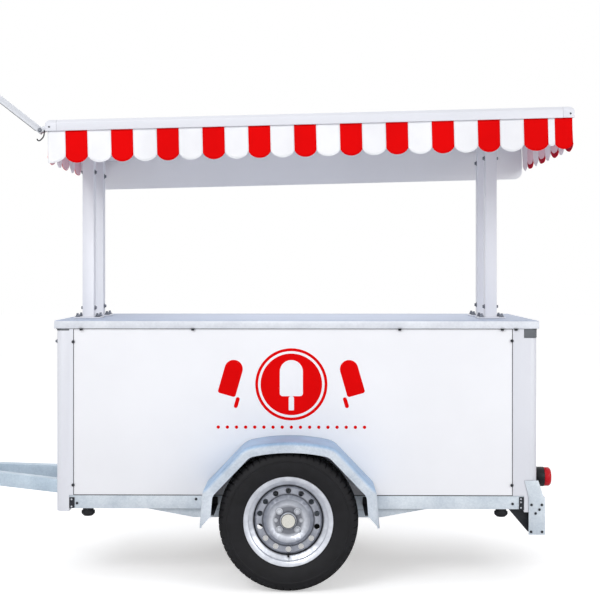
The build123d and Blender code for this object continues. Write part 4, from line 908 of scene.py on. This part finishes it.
def bar_outline(x, z, half, height, tilt=0.0, foot=0.25, count=16):
    """Outline of an upright bar turned about its middle: a half circle on top, and at the foot a quarter
    circle on each side whose radius is a share, foot, of the bar's half width."""
    upper = np.linspace(0, np.pi, count)
    lower_left = np.linspace(np.pi, 1.5 * np.pi, 6)
    lower_right = np.linspace(1.5 * np.pi, 2 * np.pi, 6)
    round_foot = foot * half
    head = np.stack([half * np.cos(upper), height / 2 - half + half * np.sin(upper)], axis=-1)
    left = np.stack([
        -half + round_foot + round_foot * np.cos(lower_left),
        -height / 2 + round_foot + round_foot * np.sin(lower_left),
    ], axis=-1)
    right = np.stack([
        half - round_foot + round_foot * np.cos(lower_right),
        -height / 2 + round_foot + round_foot * np.sin(lower_right),
    ], axis=-1)
    outline = np.concatenate([head, left, right])
    turn = np.radians(tilt)
    spin = np.array([[np.cos(turn), np.sin(turn)], [-np.sin(turn), np.cos(turn)]])
    return outline @ spin + np.array([x, z])


def film(name, outlines, layer, slot, thick=0.15):
    """Thin film cut to closed outlines, stuck on the near panel, each layer on top of the one before.

    Each outline is drawn twice, one film's thickness apart, with walls between and a face on both."""
    points, faces, count = [], [], 0
    for outline in outlines:
        total = len(outline)
        across = np.full(total, -panel_face - thick * layer)
        back = np.stack([outline[:, 0], across, outline[:, 1]], axis=-1)
        front = back + np.array([0, -thick, 0])
        points.append(np.concatenate([back, front]))
        ring = np.arange(total)
        following = (ring + 1) % total
        walls = np.stack([ring, following, following + total, ring + total], axis=-1) + count
        faces += [list(wall) for wall in walls]
        faces.append([count + corner for corner in range(total)])
        faces.append([count + total + corner for corner in range(total)])
        count += 2 * total
    points = np.concatenate(points) / 1000 + np.array([body_x, 0, 0])
    return place(name, points, faces, slot, "trailer", 20.0)


# The sign's middle, its three discs' radii and the reach, rise and tilt of the lollies beside it
sign_x, sign_z = -20, 815
outer_radius, gap_radius, core_radius = 150, 138, 128
lolly_reach, lolly_rise, lolly_tilt = 250, 6, 16
lolly_rows = [(sign_x + side * lolly_reach, sign_z + lolly_rise, side * lolly_tilt) for side in (-1, 1)]
red_shapes = [disc_outline(sign_x, sign_z, outer_radius)]
red_shapes += [bar_outline(x, z + 22, 38, 150, tilt) for x, z, tilt in lolly_rows]
dot_step, dot_drop = 38, 178
dots = [(sign_x + step * dot_step, sign_z - dot_drop) for step in range(-8, 9)]
red_shapes += [disc_outline(x, z, 7, 24) for x, z in dots]
film("sign_red", red_shapes, 1, "valance_cloth")
film("sign_white", [disc_outline(sign_x, sign_z, gap_radius)], 2, "panel_white")
film("sign_core", [disc_outline(sign_x, sign_z, core_radius)], 3, "valance_cloth")
lolly_shapes = [bar_outline(sign_x, sign_z + 26, 48, 150), bar_outline(sign_x, sign_z - 78, 11, 60)]
film("sign_lolly", lolly_shapes, 4, "panel_white")
stick_reach, stick_drop = 84, 82
stick_shapes = [
    bar_outline(x - stick_reach * np.sin(np.radians(tilt)), z - stick_drop, 8, 46, tilt, 1)
    for x, z, tilt in lolly_rows
]
film("sign_sticks", stick_shapes, 1, "valance_cloth")
for name in ("sign_red", "sign_core", "sign_sticks"):
    sign = bpy.data.objects[name]
    dyed(sign, red_stripe, np.zeros((len(sign.data.vertices), 2)))

# Camera at the photograph's viewing angle, light and floor

camera = bpy.data.objects.new("photo_camera", bpy.data.cameras.new("photo_camera"))
bpy.context.scene.collection.objects.link(camera)
bpy.context.scene.camera = camera
camera.data.sensor_width = 36.0
camera.data.lens = 75.41
camera.data.shift_x = 0.01554
camera.data.shift_y = -0.05361
camera.location = (body_x + 0.04173, -5.62028, 1.29927)
camera.rotation_euler = (np.radians(90.0), 0.0, np.radians(0.707))

floor = bpy.data.objects.new("floor", bpy.data.meshes.new("floor"))
floor.data.from_pydata([(-30, -30, 0), (30, -30, 0), (30, 30, 0), (-30, 30, 0)], [], [(0, 1, 2, 3)])
bpy.context.scene.collection.objects.link(floor)
floor_finish = Finish("pale_floor", (240, 240, 241), 0.9, specular=0.1)
floor_tone = floor_finish.between(floor_finish.noise(0.4), (238, 238, 239), (243, 243, 244))
floor_finish.paint("Base Color", floor_tone)
# The camera alone sees the floor lifted towards white, and the sky at full strength
floor_lift, sky_on_pieces, sky_seen = 0.46, 0.6, 1.0
glow = floor_finish.node("ShaderNodeLightPath")
lift = floor_finish.reckoned("MULTIPLY", glow.outputs["Is Camera Ray"], floor_lift)
floor_finish.paint("Emission Strength", lift)
floor_finish.shader.inputs["Emission Color"].default_value = (1, 1, 1, 1)
floor.data.materials.append(floor_finish.material)

# Each row is a name, its place, the point that it faces, its width and its power
light_rows = (
    ("key", (-2.6, -5.2, 4.6), (0.2, 0, 0.9), 3.0, 150),
    ("fill", (4.8, -4.2, 3.0), (0.2, 0, 0.9), 3.0, 70),
    ("back", (0.5, 5.5, 4.5), (0.2, 0, 1.0), 3.0, 70),
)
for name, spot, target, width, power in light_rows:
    lamp = bpy.data.lights.new(name, "AREA")
    lamp.size = width
    lamp.energy = power
    holder = bpy.data.objects.new(name, lamp)
    holder.location = spot
    direction = np.array(target) - np.array(spot)
    flat_reach = np.hypot(direction[0], direction[1])
    holder.rotation_euler = (
        np.arctan2(flat_reach, -direction[2]), 0.0, np.arctan2(-direction[0], direction[1]),
    )
    bpy.context.scene.collection.objects.link(holder)

world = bpy.data.worlds.new("studio")
bpy.context.scene.world = world
world.use_nodes = True
sky = world.node_tree
back = sky.nodes["Background"]
back.inputs["Color"].default_value = (1, 1, 1, 1)
rays = sky.nodes.new("ShaderNodeLightPath")
seen = sky.nodes.new("ShaderNodeMath")
seen.operation = "MAXIMUM"
sky.links.new(rays.outputs["Is Camera Ray"], seen.inputs[0])
sky.links.new(rays.outputs["Is Glossy Ray"], seen.inputs[1])
clear = sky.nodes.new("ShaderNodeMath")
clear.operation = "MAXIMUM"
sky.links.new(seen.outputs["Value"], clear.inputs[0])
sky.links.new(rays.outputs["Is Transmission Ray"], clear.inputs[1])
strength = sky.nodes.new("ShaderNodeMapRange")
strength.inputs["To Min"].default_value = sky_on_pieces
strength.inputs["To Max"].default_value = sky_seen
sky.links.new(clear.outputs["Value"], strength.inputs["Value"])
sky.links.new(strength.outputs["Result"], back.inputs["Strength"])

bpy.context.scene.view_settings.view_transform = "Standard"
